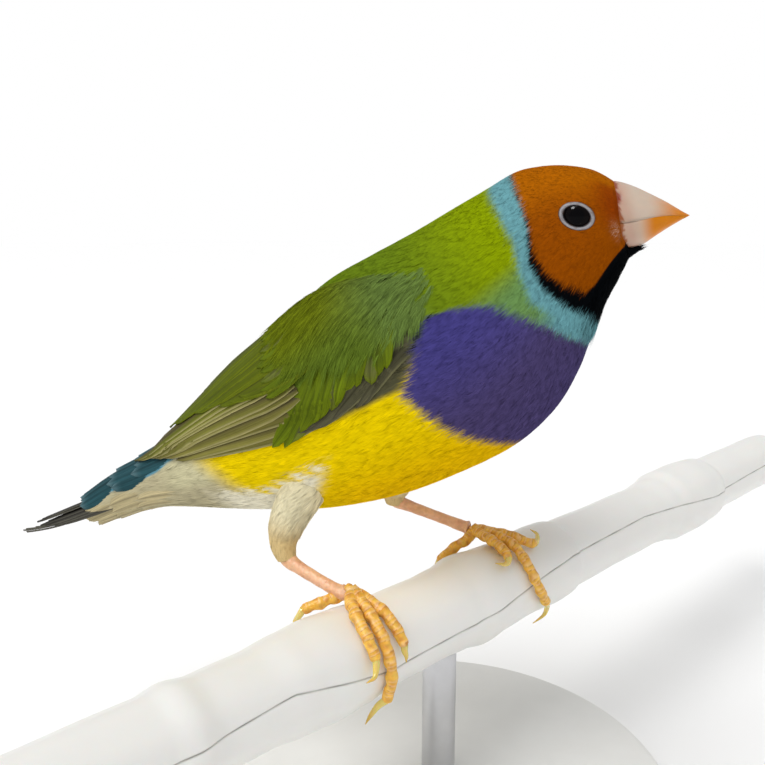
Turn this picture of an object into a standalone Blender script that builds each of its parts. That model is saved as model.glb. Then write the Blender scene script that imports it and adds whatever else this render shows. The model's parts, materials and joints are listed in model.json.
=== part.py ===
"""Gouldian finch gripping a cut length of moulded perch, carried by a display stand.

The bird faces +X with its right side at -Y, and +Z is up. The origin is the centre of the
stand base's underside. Every size below is in millimetres and is turned to metres when a
mesh is finished. Places on the bird and the perch are measured from the grip point, which
is the point of the perch axis midway between the two feet, straight above the origin.
"""

import math

import bmesh
import bpy
from mathutils import Matrix, Vector

MM = 0.001
GRIP_HEIGHT = 40.0
JOIN_GAP = 0.3
SHARP_ANGLE = math.radians(35.0)

# Body stations, bill base to rump end: back x, back z, belly x, belly z, half width
BODY_STATIONS = (
    (25.9, 73.7, 29.3, 63.5, 4.9),
    (22.6, 75.4, 28.1, 60.8, 7.2),
    (18.2, 76.1, 26.6, 57.6, 8.5),
    (14.2, 75.9, 25.4, 54.9, 8.9),
    (10.9, 75.1, 24.6, 52.2, 9.3),
    (6.6, 72.6, 23.4, 48.4, 10.5),
    (1.5, 69.7, 21.9, 43.9, 12.2),
    (-5.0, 65.9, 18.7, 37.9, 14.1),
    (-12.0, 62.2, 12.8, 31.8, 15.3),
    (-20.0, 57.6, 3.8, 26.4, 15.5),
    (-28.0, 50.0, -6.2, 21.8, 14.8),
    (-36.0, 43.0, -19.0, 18.2, 12.6),
    (-43.0, 36.0, -33.0, 16.6, 9.8),
    (-50.0, 29.4, -43.5, 16.0, 7.6),
    (-57.0, 24.4, -52.5, 15.1, 5.8),
    (-64.0, 20.0, -60.5, 12.4, 4.4),
    (-70.5, 14.9, -67.0, 9.9, 2.8),
)
BODY_ROUNDNESS = 2.2
BODY_SIDES = 24
RINGS_PER_STATION = 2
NECK_STATION = 4.0
TORSO_STATION = 6.0
TAIL_STATION = 13.0
LAST_STATION = 16.0
STATION_GAP = 0.05

# Bill profiles in the midplane, x and z, from the base to the tip
CULMEN = ((26.2, 73.7), (28.6, 73.3), (31.3, 72.2), (33.7, 71.1), (35.9, 69.8), (37.2, 68.6))
MOUTH_LINE = ((28.7, 66.1), (30.2, 67.0), (32.0, 68.0), (34.0, 68.4), (35.9, 68.35), (36.9, 68.3))
GONYS = ((29.6, 63.6), (30.8, 64.2), (32.3, 65.3), (34.0, 66.5), (35.4, 67.4), (36.2, 67.9))
BILL_HALF_WIDTHS = (4.5, 4.0, 3.2, 2.2, 1.2, 0.35)
BILL_STEPS = 8
BILL_ARCH_STEPS = 8
NOSTRIL = (27.7, 3.2, 70.7)
NOSTRIL_SIZE = (0.6, 0.8, 0.3)

# The eye lies on the side of the head at this station and angle round from the back
EYE_STATION = 2.12
EYE_ANGLE = 79.5
EYE_CENTRE = (21.0, 5.85, 68.35)
EYE_RADIUS = 2.6
LID_HALF_LENGTH = 2.25
LID_HALF_HEIGHT = 1.6
LID_THICKNESS = 1.0
LID_RISE = 0.12
LID_STEPS = 14
LID_SIDES = 5
STATIONS_PER_MM_FORWARD = -0.28
STATIONS_PER_MM_UP = -0.125
DEGREES_PER_MM_UP = -5.0

# Folded wing edges: station, angle from the back, height over the body
WING_TOP_EDGE = (
    (7.2, 50.0, 0.5),
    (8.4, 27.0, 0.9),
    (9.7, 9.0, 1.2),
    (11.0, 2.5, 1.8),
    (12.4, 2.5, 2.1),
    (13.6, 20.0, 1.9),
)
WING_LOW_EDGE = (
    (7.5, 76.0, 0.6),
    (8.55, 93.0, 1.0),
    (9.7, 90.0, 1.1),
    (10.9, 82.0, 1.1),
    (12.2, 72.0, 1.2),
    (13.6, 44.0, 1.5),
)
WING_BITE = 1.2
WING_BULGE = 0.4
WING_COLUMNS = 14
WING_ROWS = 6
MIDLINE_CLEARANCE = 0.15
MIDLINE_BLOCK = 200.0

# Room left round the body for the wings, and the extra room over the tail's coverts
CLEAR_START = 5.0
COVERT_ROOM = 1.1
COVERT_ROOM_START = 12.9
COVERT_ROOM_LENGTH = 0.6

# Wing feather rows: how many, root line, tip line, width, thickness, root and tip height.
# A line runs from its first feather's station and angle to its last one's.
WING_FEATHER_ROWS = {
    "primary": (5, ((10.0, 84.0), (10.0, 58.0)), ((13.15, 58.0), (13.95, 30.0)), 4.6, 0.7, 0.5, 2.3),
    "secondary": (5, ((9.6, 66.0), (9.6, 30.0)), ((12.7, 46.0), (12.3, 14.0)), 5.4, 0.7, 0.7, 2.6),
    "greater_covert": (6, ((8.7, 82.0), (8.7, 34.0)), ((10.65, 87.0), (10.2, 26.0)), 5.2, 0.7, 0.5, 2.2),
    "median_covert": (5, ((7.8, 74.0), (7.8, 44.0)), ((9.3, 80.0), (9.1, 34.0)), 5.2, 0.7, 0.3, 1.8),
}
VANE_STAGGER = 0.12
ALULA_ROW = (2, ((8.1, 82.0), (8.1, 78.0)), ((9.5, 92.0), (9.2, 86.0)), 3.0, 0.7, 0.5, 1.9)

# A vane's rings: how far along, and the share of its full width and thickness there
VANE_PARTS = (0.0, 0.35, 0.7, 0.9, 1.0)
VANE_WIDTHS = (0.5, 0.95, 1.0, 0.78, 0.28)
VANE_HEIGHTS = (1.0, 1.0, 1.0, 0.9, 0.6)
VANE_RISE = 0.7

# Tail feathers: tip x, tip y, tip z, root y, width, from the middle pair out
TAIL_FEATHERS = (
    (-81.2, 0.8, 8.3, 1.0, 2.4),
    (-78.8, 1.9, 9.2, 1.6, 3.6),
    (-77.2, 3.0, 9.4, 2.2, 3.6),
    (-75.4, 4.0, 9.6, 2.8, 3.6),
)
TAIL_ROOT_X = -58.0
TAIL_ROOT_Z = 19.0
TAIL_LAYER_DROP = 0.9
TAIL_THICKNESS = 0.7
TAIL_ROOF = 0.12
TAIL_CORE_END = 15.3
TAIL_CORE_DEPTH = 0.7
UPPER_TAIL_COVERT_ROWS = ((14.6, (32.0,)), (15.9, (14.0, 58.0)))
UNDER_TAIL_COVERT_ROWS = ((15.9, (163.0, 118.0)),)
TAIL_COVERT_LENGTH = 1.5
TAIL_COVERT_WIDTH = 5.0
TAIL_COVERT_SINK = 0.9
TAIL_CORE_CAP = ((0.8, 1.2), (0.45, 2.2))

# Perch: round moulded rod that runs level past the bird, with swollen knuckles
PERCH_HEADING = 59.6
PERCH_SIDES = 20
PERCH_PROFILE = (
    (-76.0, 6.9), (-57.0, 7.0), (-53.0, 7.6), (-49.0, 7.0), (-41.0, 7.1), (-34.0, 7.7), (-28.0, 8.0),
    (-22.0, 7.8), (-16.0, 7.3), (-4.0, 7.3), (2.0, 7.6), (7.0, 8.3), (13.0, 7.9), (22.0, 7.6), (30.0, 8.0),
    (33.0, 7.9), (35.0, 7.1), (52.0, 6.9), (70.0, 6.9), (76.0, 7.4), (81.0, 8.3), (90.0, 8.5), (97.0, 8.1),
    (101.0, 6.9), (120.0, 6.8), (140.0, 6.8),
)

# Legs, right then left: path points x, outward y, z and the radius there
THIGHS = {
    "right": (
        (-18.0, 8.5, 29.0, 7.0),
        (-20.4, 10.6, 23.5, 5.6),
        (-22.8, 12.2, 19.0, 4.1),
        (-23.9, 12.9, 15.4, 2.9),
        (-23.4, 13.1, 12.6, 1.9),
    ),
    "left": (
        (-7.5, 8.5, 29.0, 7.0),
        (-9.2, 10.6, 23.5, 5.4),
        (-10.6, 12.2, 19.6, 4.0),
        (-11.6, 13.2, 16.8, 2.9),
        (-11.9, 13.6, 14.6, 1.9),
    ),
}
TARSI = {
    "right": (
        (-23.7, 13.0, 14.2, 1.3),
        (-23.2, 13.2, 12.7, 1.4),
        (-21.2, 13.9, 11.7, 1.1),
        (-16.0, 15.7, 10.2, 1.0),
        (-12.6, 17.0, 9.6, 1.15),
    ),
    "left": (
        (-12.2, 13.6, 16.2, 1.3),
        (-11.4, 13.8, 14.9, 1.4),
        (-9.2, 14.1, 14.0, 1.1),
        (-3.0, 15.0, 11.8, 1.0),
        (1.2, 15.6, 10.3, 1.15),
    ),
}

# Toes on the perch: along the perch, angle from its top towards the front, and the lift of
# the toe off the perch. The claw carries on from the toe's last point.
TOE_RADIUS = 1.05
TOE_SWELL = 0.1
CLAW_RADIUS = 0.6
CLAW_TAPER = 0.85
FEET = {
    "right": {
        "ball": (-20.2, -6.0, 0.4),
        "middle": (
            ((-20.4, 8.0, 0.3), (-21.2, 34.0, 0.1), (-21.3, 62.0, 0), (-21.1, 92.0, 0), (-21.2, 118.0, 0.1)),
            ((-21.6, 133.0, 0.3), (-22.8, 142.0, 1.0), (-24.6, 139.0, 1.6)),
        ),
        "inner": (
            ((-19.2, 6.0, 0.3), (-18.4, 30.0, 0.1), (-17.9, 52.0, 0.0), (-17.6, 66.0, 0.0)),
            ((-17.4, 75.0, 0.1), (-17.2, 82.0, 0.1), (-17.2, 89.0, 0.0)),
        ),
        "outer": (
            ((-21.8, 4.0, 0.2), (-23.6, 26.0, 0.1), (-24.0, 48.0, 0.0), (-24.0, 66.0, 0.0)),
            ((-24.2, 76.0, 0.3), (-25.0, 83.0, 0.5), (-26.7, 84.0, 0.5)),
        ),
        "hind": (
            ((-21.2, -20.0, 0.3), (-23.2, -26.0, 0.1), (-25.8, -38.0, 0.1)),
            ((-27.2, -50.0, 0.2), (-27.8, -62.0, 0.3), (-27.9, -74.0, 0.1)),
        ),
    },
    "left": {
        "ball": (15.0, -26.0, 1.3),
        "middle": (
            ((15.8, -8.0, 0.8), (16.4, 20.0, 0.3), (16.2, 48.0, 0), (17.0, 76.0, 0), (19.4, 100.0, 0.1)),
            ((21.6, 116.0, 0.2), (22.2, 132.0, 0.6), (20.4, 144.0, 0.9)),
        ),
        "inner": (
            ((17.0, -12.0, 0.8), (18.8, 8.0, 0.4), (20.0, 20.0, 0.1), (21.4, 28.0, 0.1)),
            ((23.2, 26.0, 0.3), (24.6, 18.0, 0.4), (25.0, 6.0, 0.3)),
        ),
        "outer": (
            ((14.4, -12.0, 0.7), (13.6, 6.0, 0.4), (13.4, 22.0, 0.1), (12.8, 32.0, 0.1)),
            ((11.6, 38.0, 0.4), (10.2, 38.0, 0.6), (8.6, 33.0, 0.5)),
        ),
        "hind": (
            ((13.4, -34.0, 0.6), (11.2, -44.0, 0.2), (9.6, -62.0, 0.1)),
            ((8.6, -76.0, 0.2), (8.0, -88.0, 0.3), (7.8, -100.0, 0.1)),
        ),
    },
}
FOOT_BALL_RADIUS = 1.75

STAND_BASE_RADIUS = 42.0
STAND_BASE_THICKNESS = 8.0
STAND_BASE_BEVEL = 1.5
STAND_ROD_RADIUS = 3.0

# Node finishes: colour, roughness, metallic
FINISHES = {
    "head": ((0.48, 0.12, 0.004), 0.8, 0.0),
    "neck": ((0.18, 0.42, 0.05), 0.8, 0.0),
    "torso": ((0.62, 0.48, 0.02), 0.8, 0.0),
    "wing": ((0.09, 0.17, 0.03), 0.75, 0.0),
    "tail": ((0.05, 0.11, 0.13), 0.75, 0.0),
    "bill": ((0.78, 0.55, 0.46), 0.35, 0.0),
    "eye": ((0.012, 0.01, 0.01), 0.08, 0.0),
    "thigh": ((0.55, 0.47, 0.33), 0.85, 0.0),
    "leg": ((0.70, 0.30, 0.14), 0.5, 0.0),
    "claw": ((0.66, 0.50, 0.12), 0.4, 0.0),
    "perch": ((0.80, 0.79, 0.75), 0.45, 0.0),
    "stand": ((0.82, 0.82, 0.80), 0.4, 0.0),
}


def clear_scene():
    """Take every object of the start scene out."""
    for scene_object in list(bpy.data.objects):
        bpy.data.objects.remove(scene_object, do_unlink=True)


def finish_material(kind):
    """One Principled material of this kind, made new for each node."""
    colour, roughness, metallic = FINISHES[kind]
    material = bpy.data.materials.new(kind)
    material.use_nodes = True
    shader = material.node_tree.nodes["Principled BSDF"]
    shader.inputs["Base Color"].default_value = (*colour, 1.0)
    shader.inputs["Roughness"].default_value = roughness
    shader.inputs["Metallic"].default_value = metallic
    return material


def smooth_value(rows, place):
    """Catmull-Rom reading of a table of equal-length rows at a fractional row number."""
    index = min(max(math.floor(place), 0), len(rows) - 2)
    part = place - index
    last = len(rows) - 1
    before, here, after, beyond = (rows[min(max(index + step, 0), last)] for step in (-1, 0, 1, 2))
    values = []
    for a, b, c, d in zip(before, here, after, beyond):
        slope = (c - a) * part
        bend = (2 * a - 5 * b + 4 * c - d) * part ** 2
        twist = (3 * b - 3 * c + d - a) * part ** 3
        values.append(0.5 * (2 * b + slope + bend + twist))
    return values


def signed_power(value, power):
    return math.copysign(abs(value) ** power, value)


def body_point(station, degrees, lift=0.0):
    """A point on the body, its angle counted from the back round the bird's right side."""
    back_x, back_z, belly_x, belly_z, half_width = smooth_value(BODY_STATIONS, station)
    half_x, half_z = (back_x - belly_x) / 2, (back_z - belly_z) / 2
    half_depth = math.hypot(half_x, half_z)
    power = 2 / BODY_ROUNDNESS
    up = signed_power(math.cos(math.radians(degrees)), power) * (half_depth + lift) / half_depth
    side = signed_power(math.sin(math.radians(degrees)), power) * (half_width + lift)
    return Vector(((back_x + belly_x) / 2 + half_x * up, -side, (back_z + belly_z) / 2 + half_z * up))


def body_normal(station, degrees):
    """The outward direction of the body there."""
    step = 0.02
    along = body_point(station + step, degrees) - body_point(station - step, degrees)
    around = body_point(station, degrees + 1) - body_point(station, degrees - 1)
    normal = along.cross(around).normalized()
    outward = body_point(station, degrees, 1.0) - body_point(station, degrees)
    return normal if normal.dot(outward) > 0 else -normal


def loft(rings, alternate=False):
    """A closed mesh through rings of equal length. Alternate diagonals split a thin vane's
    two faces alike."""
    mesh = bmesh.new()
    loops = [[mesh.verts.new(point) for point in ring] for ring in rings]
    sides = len(loops[0])
    for first, second in zip(loops, loops[1:]):
        for side in range(sides):
            following = (side + 1) % sides
            a, b, c, d = first[side], first[following], second[following], second[side]
            if alternate and side % 2:
                mesh.faces.new((a, b, d))
                mesh.faces.new((b, c, d))
            elif alternate:
                mesh.faces.new((a, b, c))
                mesh.faces.new((a, c, d))
            else:
                mesh.faces.new((a, b, c, d))
    mesh.faces.new(reversed(loops[0]))
    mesh.faces.new(loops[-1])
    return mesh


def make_node(name, mesh, kind):
    """Turn a bmesh in millimetres round the grip point into a named object in metres."""
    bmesh.ops.recalc_face_normals(mesh, faces=mesh.faces)
    bmesh.ops.transform(mesh, matrix=Matrix.Translation((0, 0, GRIP_HEIGHT)), verts=mesh.verts)
    bmesh.ops.scale(mesh, vec=(MM, MM, MM), verts=mesh.verts)
    data = bpy.data.meshes.new(name)
    mesh.to_mesh(data)
    mesh.free()
    data.materials.append(finish_material(kind))
    data.shade_smooth()
    data.set_sharp_from_angle(angle=SHARP_ANGLE)
    node = bpy.data.objects.new(name, data)
    bpy.context.scene.collection.objects.link(node)
    return node


def apply_modifiers(node):
    """Bake the modifiers into the node's own mesh."""
    bpy.context.view_layer.update()
    graph = bpy.context.evaluated_depsgraph_get()
    baked = bpy.data.meshes.new_from_object(node.evaluated_get(graph))
    baked.set_sharp_from_angle(angle=SHARP_ANGLE)
    node.modifiers.clear()
    node.data = baked


def keep_largest_surface(node):
    """Drop loose scraps, so that the node is one closed surface."""
    mesh = bmesh.new()
    mesh.from_mesh(node.data)
    unseen = set(mesh.verts)
    groups = []
    while unseen:
        seed = unseen.pop()
        group, edge = {seed}, [seed]
        while edge:
            for link in edge.pop().link_edges:
                for vertex in link.verts:
                    if vertex in unseen:
                        unseen.discard(vertex)
                        group.add(vertex)
                        edge.append(vertex)
        groups.append(group)
    largest = max(groups, key=len)
    scraps = [vertex for vertex in mesh.verts if vertex not in largest]
    bmesh.ops.delete(mesh, geom=scraps, context="VERTS")
    mesh.to_mesh(node.data)
    mesh.free()


def unite(node, pieces):
    """Fuse closed pieces into the node with one union."""
    group = bpy.data.collections.new(node.name + "_pieces")
    bpy.context.scene.collection.children.link(group)
    for piece in pieces:
        bpy.context.scene.collection.objects.unlink(piece)
        group.objects.link(piece)
    union = node.modifiers.new("union", "BOOLEAN")
    union.operand_type = "COLLECTION"
    union.collection = group
    union.operation = "UNION"
    union.solver = "EXACT"
    apply_modifiers(node)
    for piece in pieces:
        bpy.data.objects.remove(piece, do_unlink=True)
    bpy.data.collections.remove(group)
    keep_largest_surface(node)


def cut(node, cutters):
    """Take the cutters' space out of the node."""
    for cutter in cutters:
        difference = node.modifiers.new("cut", "BOOLEAN")
        difference.object = cutter
        difference.operation = "DIFFERENCE"
        difference.solver = "EXACT"
        apply_modifiers(node)
    keep_largest_surface(node)


def remove(objects):
    for spent in objects:
        bpy.data.objects.remove(spent, do_unlink=True)


def body_stations(start, end):
    """Evenly spaced stations from one to the other."""
    steps = round((end - start) * RINGS_PER_STATION)
    return [start + (end - start) * step / steps for step in range(steps + 1)]


def body_ring(station, lift=0.0):
    """A ring round the body at a station, lifted off it by a set height."""
    return [body_point(station, 360 * side / BODY_SIDES, lift) for side in range(BODY_SIDES)]


def body_length(start, end):
    """A length of the body, half a gap short at each inner end."""
    first = start + (STATION_GAP if start > 0 else 0)
    return loft([body_ring(station) for station in body_stations(first, end - STATION_GAP)])


def tube_rings(path, sides, extra=0.0, start_ahead=None):
    """Rings square to a path of (point, radius) pairs, or the first square to a direction."""
    rings = []
    side_axis = Vector((0.0, 1.0, 0.0))
    for index, (point, radius) in enumerate(path):
        before = path[max(index - 1, 0)][0]
        after = path[min(index + 1, len(path) - 1)][0]
        ahead = (after - before).normalized()
        if start_ahead and index == 0:
            ahead = start_ahead
        side_axis = (side_axis - ahead * side_axis.dot(ahead)).normalized()
        up_axis = ahead.cross(side_axis)
        ring = []
        for side in range(sides):
            angle = math.tau * side / sides
            ring.append(point + (side_axis * math.cos(angle) + up_axis * math.sin(angle)) * (radius + extra))
        rings.append(ring)
    return rings


def smooth_path(rows, steps):
    """Points and radii read evenly from a smooth curve through rows of x, y, z, radius."""
    path = []
    for step in range(steps + 1):
        x, y, z, radius = smooth_value(rows, (len(rows) - 1) * step / steps)
        path.append((Vector((x, y, z)), radius))
    return path


def vane(points, normals, width, thickness):
    """One feather vane: a flat rhombus section, rounded off at its tip."""
    rings = []
    last = len(points) - 1
    for index, (point, normal) in enumerate(zip(points, normals)):
        ahead = (points[min(index + 1, last)] - points[max(index - 1, 0)]).normalized()
        side = ahead.cross(normal).normalized() * width / 2 * VANE_WIDTHS[index]
        high = normal * thickness / 2 * VANE_HEIGHTS[index]
        rings.append([point - side, point + high, point + side, point - high])
    return loft(rings, alternate=True)


def body_vane(root, tip, root_lift, tip_lift, width, thickness):
    """A vane that follows the body from a root to a tip, each a station and an angle."""
    points, normals = [], []
    for part in VANE_PARTS:
        station = root[0] + (tip[0] - root[0]) * part
        degrees = root[1] + (tip[1] - root[1]) * part
        lift = root_lift + (tip_lift - root_lift) * part ** VANE_RISE
        points.append(body_point(station, degrees, lift))
        normals.append(body_normal(min(station, LAST_STATION - 0.1), degrees))
    return vane(points, normals, width, thickness)


def build_head():
    """Head with raised lids round open sockets. The eyes sit in the sockets."""
    head = make_node("head", body_length(0.0, NECK_STATION), "head")
    lids = []
    for mirror in (1, -1):
        rings = []
        for step in range(LID_STEPS):
            angle = math.tau * step / LID_STEPS
            forward = LID_HALF_LENGTH * math.cos(angle)
            up = LID_HALF_HEIGHT * math.sin(angle)
            station = EYE_STATION + STATIONS_PER_MM_FORWARD * forward + STATIONS_PER_MM_UP * up
            degrees = EYE_ANGLE + DEGREES_PER_MM_UP * up
            centre = body_point(station, degrees, LID_RISE)
            normal = body_normal(station, degrees)
            centre.y *= mirror
            normal.y *= mirror
            radial = Vector((math.cos(angle), 0, math.sin(angle)))
            radial = (radial - normal * radial.dot(normal)).normalized()
            ring = []
            for side in range(LID_SIDES):
                turn = math.tau * side / LID_SIDES
                outward = radial * math.cos(turn) + normal * math.sin(turn)
                ring.append(centre + outward * LID_THICKNESS / 2)
            rings.append(ring)
        lids.append(make_node("lid", closed_loop(rings), "head"))
    unite(head, lids)
    sockets = [make_ball("socket", eye_centre(mirror), EYE_RADIUS + JOIN_GAP, 18, 12) for mirror in (1, -1)]
    cut(head, sockets)
    remove(sockets)


def closed_loop(rings):
    """A ring-shaped tube: the last ring joins the first."""
    mesh = bmesh.new()
    loops = [[mesh.verts.new(point) for point in ring] for ring in rings]
    sides = len(loops[0])
    for index, first in enumerate(loops):
        second = loops[(index + 1) % len(loops)]
        for side in range(sides):
            following = (side + 1) % sides
            mesh.faces.new((first[side], first[following], second[following], second[side]))
    return mesh


def make_ball(name, centre, radius, columns, rows, kind="eye"):
    mesh = bmesh.new()
    bmesh.ops.create_uvsphere(mesh, u_segments=columns, v_segments=rows, radius=radius)
    bmesh.ops.rotate(mesh, cent=(0, 0, 0), matrix=Matrix.Rotation(math.pi / 2, 3, "X"), verts=mesh.verts)
    bmesh.ops.translate(mesh, vec=centre, verts=mesh.verts)
    return make_node(name, mesh, kind)


def eye_centre(mirror):
    x, outward, z = EYE_CENTRE
    return Vector((x, -outward * mirror, z))


def build_eyes():
    for side, mirror in (("right", 1), ("left", -1)):
        make_ball("eye_" + side, eye_centre(mirror), EYE_RADIUS, 16, 10)


def bill_half(ridge):
    """Rings of one mandible: an arch from the mouth line out to its ridge."""
    rings = []
    for step in range(BILL_STEPS + 1):
        place = (len(ridge) - 1) * step / BILL_STEPS
        ridge_x, ridge_z = smooth_value(ridge, place)
        mouth_x, mouth_z = smooth_value(MOUTH_LINE, place)
        (half_width,) = smooth_value([(w,) for w in BILL_HALF_WIDTHS], place)
        edge = Vector((mouth_x, 0, mouth_z))
        rise = Vector((ridge_x, 0, ridge_z)) - edge
        edge += rise.normalized() * JOIN_GAP / 2
        rise -= rise.normalized() * JOIN_GAP / 2
        ring = []
        for arch_step in range(BILL_ARCH_STEPS + 1):
            angle = math.pi * arch_step / BILL_ARCH_STEPS
            across = math.cos(angle) * half_width
            ring.append(edge + rise * math.sin(angle) + Vector((0, across, 0)))
        rings.append(ring)
    return rings


def build_bill():
    """Upper and lower mandible, parted by the line of the mouth."""
    upper = make_node("bill_upper", loft(bill_half(CULMEN)), "bill")
    nostrils = []
    for mirror in (1, -1):
        mesh = bmesh.new()
        bmesh.ops.create_uvsphere(mesh, u_segments=10, v_segments=6, radius=1.0)
        bmesh.ops.scale(mesh, vec=NOSTRIL_SIZE, verts=mesh.verts)
        bmesh.ops.translate(mesh, vec=(NOSTRIL[0], -NOSTRIL[1] * mirror, NOSTRIL[2]), verts=mesh.verts)
        nostrils.append(make_node("nostril", mesh, "bill"))
    cut(upper, nostrils)
    remove(nostrils)
    make_node("bill_lower", loft(bill_half(GONYS)), "bill")


def wing_core():
    """The folded wing's own thickness, from inside the body out to its edges' height."""
    columns, rows = WING_COLUMNS, WING_ROWS
    outer, inner = [], []
    for column in range(columns + 1):
        place = (len(WING_TOP_EDGE) - 1) * column / columns
        top = smooth_value(WING_TOP_EDGE, place)
        low = smooth_value(WING_LOW_EDGE, place)
        for grid, depth in ((outer, 0.0), (inner, WING_BITE)):
            line = []
            for row in range(rows + 1):
                part = row / rows
                station, degrees, lift = (a + (b - a) * part for a, b in zip(top, low))
                outside = lift + WING_BULGE * math.sin(math.pi * part)
                line.append(body_point(station, degrees, -depth if depth else outside))
            grid.append(line)
    rings = [out_line + list(reversed(in_line)) for out_line, in_line in zip(outer, inner)]
    return loft(rings)


def feather_row(count, roots, tips, width, thickness, root_lift, tip_lift):
    """Overlapping vanes along a row, the later ones a little higher, as tiles lie."""
    pieces = []
    for index in range(count):
        part = index / (count - 1)
        root = [a + (b - a) * part for a, b in zip(*roots)]
        tip = [a + (b - a) * part for a, b in zip(*tips)]
        mesh = body_vane(root, tip, root_lift, tip_lift + VANE_STAGGER * part, width, thickness)
        pieces.append(make_node("vane", mesh, "wing"))
    return pieces


def body_cutter():
    """The body swollen by the joining gap, and more over the tail's coverts."""
    rings = []
    for station in body_stations(CLEAR_START, LAST_STATION):
        over_tail = min(max((station - COVERT_ROOM_START) / COVERT_ROOM_LENGTH, 0.0), 1.0)
        rings.append(body_ring(station, JOIN_GAP + COVERT_ROOM * over_tail))
    return make_node("body_cutter", loft(rings), "torso")


def midline_cutter():
    """A block over the left half of space, so that the right wing stays on its own side."""
    mesh = bmesh.new()
    bmesh.ops.create_cube(mesh, size=MIDLINE_BLOCK)
    bmesh.ops.translate(mesh, vec=(0, MIDLINE_BLOCK / 2 - MIDLINE_CLEARANCE, 0), verts=mesh.verts)
    return make_node("midline_cutter", mesh, "torso")


def build_wings():
    """The right wing is built, cut to the body, and mirrored for the left."""
    wing = make_node("wing_right", wing_core(), "wing")
    pieces = []
    for row in WING_FEATHER_ROWS.values():
        pieces += feather_row(*row)
    pieces += feather_row(*ALULA_ROW)
    unite(wing, pieces)
    cutters = [body_cutter(), midline_cutter()]
    cut(wing, cutters)
    remove(cutters)
    mirror_node(wing, "wing_left", "wing")


def mirror_node(node, name, kind):
    """A copy of the node on the other side of the midplane."""
    mesh = bmesh.new()
    mesh.from_mesh(node.data)
    bmesh.ops.scale(mesh, vec=(1, -1, 1), verts=mesh.verts)
    bmesh.ops.reverse_faces(mesh, faces=mesh.faces)
    data = bpy.data.meshes.new(name)
    mesh.to_mesh(data)
    mesh.free()
    data.materials.clear()
    data.materials.append(finish_material(kind))
    data.shade_smooth()
    data.set_sharp_from_angle(angle=SHARP_ANGLE)
    copy = bpy.data.objects.new(name, data)
    bpy.context.scene.collection.objects.link(copy)


def tail_feather(layer, mirror):
    """A tail feather from inside the rump straight to its tip, the outer ones lower."""
    tip_x, tip_y, tip_z, root_y, width = TAIL_FEATHERS[layer]
    root = Vector((TAIL_ROOT_X, -root_y * mirror, TAIL_ROOT_Z - TAIL_LAYER_DROP * layer))
    tip = Vector((tip_x, -tip_y * mirror, tip_z))
    points = [root.lerp(tip, part) for part in VANE_PARTS]
    slope = root - tip
    roof = Vector((-slope.z, -TAIL_ROOF * layer * mirror * slope.x, slope.x)).normalized()
    return make_node("vane", vane(points, [roof] * len(points), width, TAIL_THICKNESS), "tail")


def tail_core():
    """The rump end, sunk under its coverts and rounded off inside them."""
    rings = []
    for index, station in enumerate(body_stations(TAIL_STATION + STATION_GAP, TAIL_CORE_END)):
        rings.append(body_ring(station, -TAIL_CORE_DEPTH * min(index / 2, 1.0)))
    last_ring = rings[-1]
    middle = sum(last_ring, Vector()) / BODY_SIDES
    ahead = (middle - sum(rings[-2], Vector()) / BODY_SIDES).normalized()
    for share, reach in TAIL_CORE_CAP:
        rings.append([middle + (point - middle) * share + ahead * reach for point in last_ring])
    return loft(rings)


def build_tail():
    """Rump end with its tail feathers and, over and under their roots, the coverts."""
    tail = make_node("tail", tail_core(), "tail")
    pieces = []
    for mirror in (1, -1):
        pieces += [tail_feather(layer, mirror) for layer in range(len(TAIL_FEATHERS))]
        for station, angles in UPPER_TAIL_COVERT_ROWS + UNDER_TAIL_COVERT_ROWS:
            pieces += [tail_covert(station, degrees * mirror) for degrees in angles]
    unite(tail, pieces)


def tail_covert(station, degrees):
    """A covert vane that ends at this station, its root sunk into the rump."""
    root = (station - TAIL_COVERT_LENGTH, degrees)
    tip = (station, degrees)
    mesh = body_vane(root, tip, -TAIL_COVERT_SINK, 0.0, TAIL_COVERT_WIDTH, TAIL_THICKNESS)
    return make_node("vane", mesh, "tail")


def perch_radius(along):
    """The perch's radius at a place along it, eased between the profile's rows."""
    for (start, first), (end, second) in zip(PERCH_PROFILE, PERCH_PROFILE[1:]):
        if along <= end:
            part = min(max((along - start) / (end - start), 0.0), 1.0)
            return first + (second - first) * part * part * (3 - 2 * part)
    return PERCH_PROFILE[-1][1]


def perch_frame():
    """The perch's direction and the level direction out of its front."""
    heading = math.radians(PERCH_HEADING)
    along = Vector((math.cos(heading), math.sin(heading), 0))
    front = Vector((math.sin(heading), -math.cos(heading), 0))
    return along, front


def perch_point(along_by, degrees, radius):
    """A point round the perch, its angle counted from the top towards the front."""
    along, front = perch_frame()
    angle = math.radians(degrees)
    return along * along_by + front * math.sin(angle) * radius + Vector((0, 0, math.cos(angle) * radius))


def perch_mesh(extra=0.0):
    rings = []
    for along, radius in PERCH_PROFILE:
        ring = [perch_point(along, 360 * side / PERCH_SIDES, radius + extra) for side in range(PERCH_SIDES)]
        rings.append(ring)
    return loft(rings)


def toe_path(places, radius, steps):
    """A path laid on the perch through places along it, each an angle and a lift."""
    rows = []
    for along, degrees, lift in places:
        near = max(perch_radius(along + side) for side in (-radius, 0.0, radius))
        point = perch_point(along, degrees, near + JOIN_GAP + radius + lift)
        rows.append((*point, radius))
    return smooth_path(rows, steps)


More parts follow.
